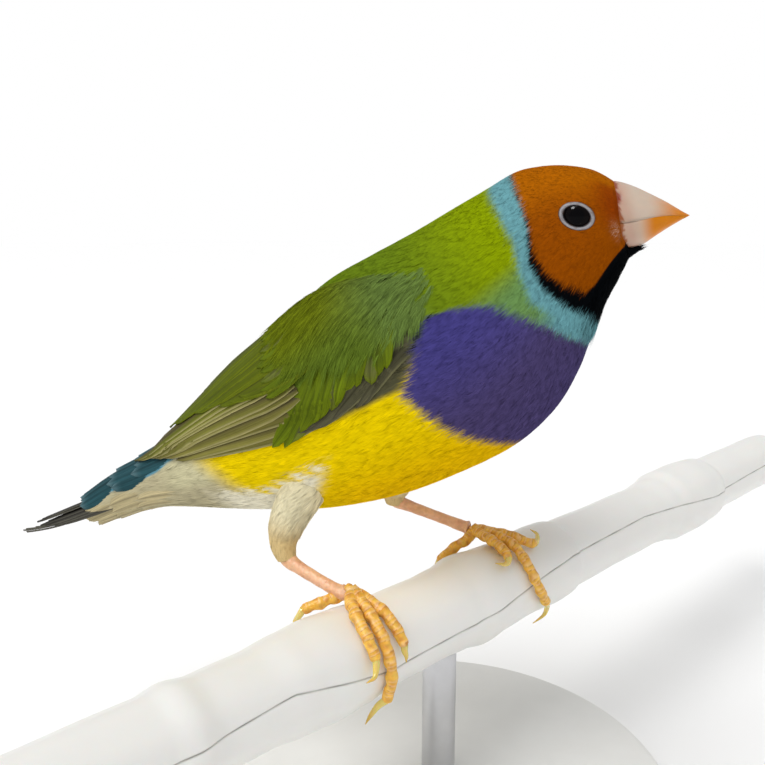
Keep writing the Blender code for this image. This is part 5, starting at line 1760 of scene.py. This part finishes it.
# %% The stand
STAND_WHITE = linear(232, 232, 229)
STEEL = linear(198, 198, 200)
plate_finish = finish("stand_plate", 0.45, 220.0, 0.03, 0.00004, (("Coat Weight", 0.1),))
rod_finish = finish("stand_metal", 0.3, 600.0, 0.05, 0.00002, (("Metallic", 1.0),))
PLATE_SIDES, PLATE_ROUNDING = 128, 1.5 * MM
ROD_SIDES, ROD_ROUNDING = 48, 0.2 * MM


def turned(node, segments, bevel, colour):
    """A disc or rod as wide and tall as a node of the frame, with its rims rounded."""
    low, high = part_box(node)
    bundle = bmesh.new()
    paint = bundle.verts.layers.float_color.new(PAINT)
    radius, depth = (high.x - low.x) / 2, high.z - low.z
    bmesh.ops.create_cone(
        bundle, cap_ends=True, segments=segments, radius1=radius, radius2=radius, depth=depth,
    )
    bmesh.ops.translate(bundle, vec=(low + high) / 2, verts=bundle.verts)
    rims = [edge for edge in bundle.edges if abs(edge.verts[0].co.z - edge.verts[1].co.z) < MERGE]
    bmesh.ops.bevel(bundle, geom=rims, offset=bevel, segments=5, affect="EDGES", profile=0.5, material=-1)
    for vertex in bundle.verts:
        vertex[paint] = (*colour, 1.0)
    return bundle


plate = turned("stand_base", PLATE_SIDES, PLATE_ROUNDING, STAND_WHITE)
new_piece("stand_plate", plate, plate_finish, ("stand_base",))
rod = turned("stand_rod", ROD_SIDES, ROD_ROUNDING, STEEL)
new_piece("stand_post", rod, rod_finish, ("stand_rod",))

# %% [markdown]
# The set is a plain white floor, a white sky that lights from all sides, and a broad, soft sun
# high on the camera's left to round the forms. A small lamp there is seen only as a glint on
# what is glossy, such as the eye. The camera stands where the photographer stood: this was
# worked out from the perch's direction and the bird's size.

# %% The floor
FLOOR_REACH, FLOOR_DROP = 4.0, 0.0002
FLOOR_WHITE = linear(254, 254, 254)
floor_bundle = bmesh.new()
floor_paint = floor_bundle.verts.layers.float_color.new(PAINT)
bmesh.ops.create_circle(floor_bundle, cap_ends=True, segments=96, radius=FLOOR_REACH)
bmesh.ops.translate(floor_bundle, vec=(0, 0, -FLOOR_DROP), verts=floor_bundle.verts)
for vertex in floor_bundle.verts:
    vertex[floor_paint] = (*FLOOR_WHITE, 1.0)
floor_data = bpy.data.meshes.new("floor")
floor_bundle.to_mesh(floor_data)
floor_bundle.free()
floor_data.materials.append(finish("floor_card", 0.9, 30.0, 0.01, 0.0))
floor = bpy.data.objects.new("floor", floor_data)
bpy.context.scene.collection.objects.link(floor)
print("floor:", 2 * FLOOR_REACH, "m across")

# %% The light
SKY_STRENGTH, SKY_SEEN = 0.6, 1.0
SUN_STRENGTH, SUN_SPREAD = 1.6, 35.0
SUN_FROM = (-0.35, -0.5, 1.0)
GLINT_FROM, GLINT_ON, GLINT_SIZE, GLINT_WATTS = (-0.25, -0.45, 0.6), (0.0, 0.0, 0.08), 0.18, 7.0
world = bpy.data.worlds.new("sky")
world.use_nodes = True
sky_nodes, sky_links = world.node_tree.nodes, world.node_tree.links
seen = sky_nodes.new("ShaderNodeLightPath")
strength = sky_nodes.new("ShaderNodeMapRange")
strength.inputs["To Min"].default_value = SKY_STRENGTH
strength.inputs["To Max"].default_value = SKY_SEEN
sky_links.new(seen.outputs["Is Camera Ray"], strength.inputs["Value"])
sky_links.new(strength.outputs["Result"], sky_nodes["Background"].inputs["Strength"])
sky_nodes["Background"].inputs["Color"].default_value = (1.0, 1.0, 1.0, 1.0)
bpy.context.scene.world = world
bpy.context.scene.view_settings.view_transform = "Standard"

sun_light = bpy.data.lights.new("sun", "SUN")
sun_light.energy = SUN_STRENGTH
sun_light.angle = math.radians(SUN_SPREAD)
sun = bpy.data.objects.new("sun", sun_light)
sun.rotation_euler = Vector(SUN_FROM).to_track_quat("Z", "Y").to_euler()
bpy.context.scene.collection.objects.link(sun)

lamp_light = bpy.data.lights.new("key", "AREA")
lamp_light.size = GLINT_SIZE
lamp_light.energy = GLINT_WATTS
lamp = bpy.data.objects.new("key", lamp_light)
lamp.location = GLINT_FROM
lamp.rotation_euler = (Vector(GLINT_ON) - Vector(GLINT_FROM)).to_track_quat("-Z", "Y").to_euler()
lamp.visible_diffuse = False
bpy.context.scene.collection.objects.link(lamp)
print("lights:", [light.name for light in bpy.data.lights])

# %% The camera
LENS, SENSOR = 40.0, 36.0
CLIP = (0.005, 20.0)
CAMERA_PLACE = (0.026316, -0.137483, 0.107934)
CAMERA_YAW, CAMERA_DOWN = math.radians(15.0), math.radians(10.888)
camera_data = bpy.data.cameras.new("camera")
camera_data.lens = LENS
camera_data.sensor_width = SENSOR
camera_data.clip_start, camera_data.clip_end = CLIP
camera = bpy.data.objects.new("camera", camera_data)
camera.location = CAMERA_PLACE
level = math.cos(CAMERA_DOWN)
sight = Vector((-math.sin(CAMERA_YAW) * level, math.cos(CAMERA_YAW) * level, -math.sin(CAMERA_DOWN)))
camera.rotation_euler = sight.to_track_quat("-Z", "Y").to_euler()
bpy.context.scene.collection.objects.link(camera)
bpy.context.scene.camera = camera
print("camera looks along", [round(value, 3) for value in sight])

# %% [markdown]
# Last, the triangles of all the pieces that render are counted.

# %% Measure and finish
bpy.context.view_layer.update()
shown = [piece for piece in bpy.data.objects if piece.type == "MESH" and not piece.hide_render]
triangles = sum(len(polygon.vertices) - 2 for piece in shown for polygon in piece.data.polygons)
print("triangles:", triangles)
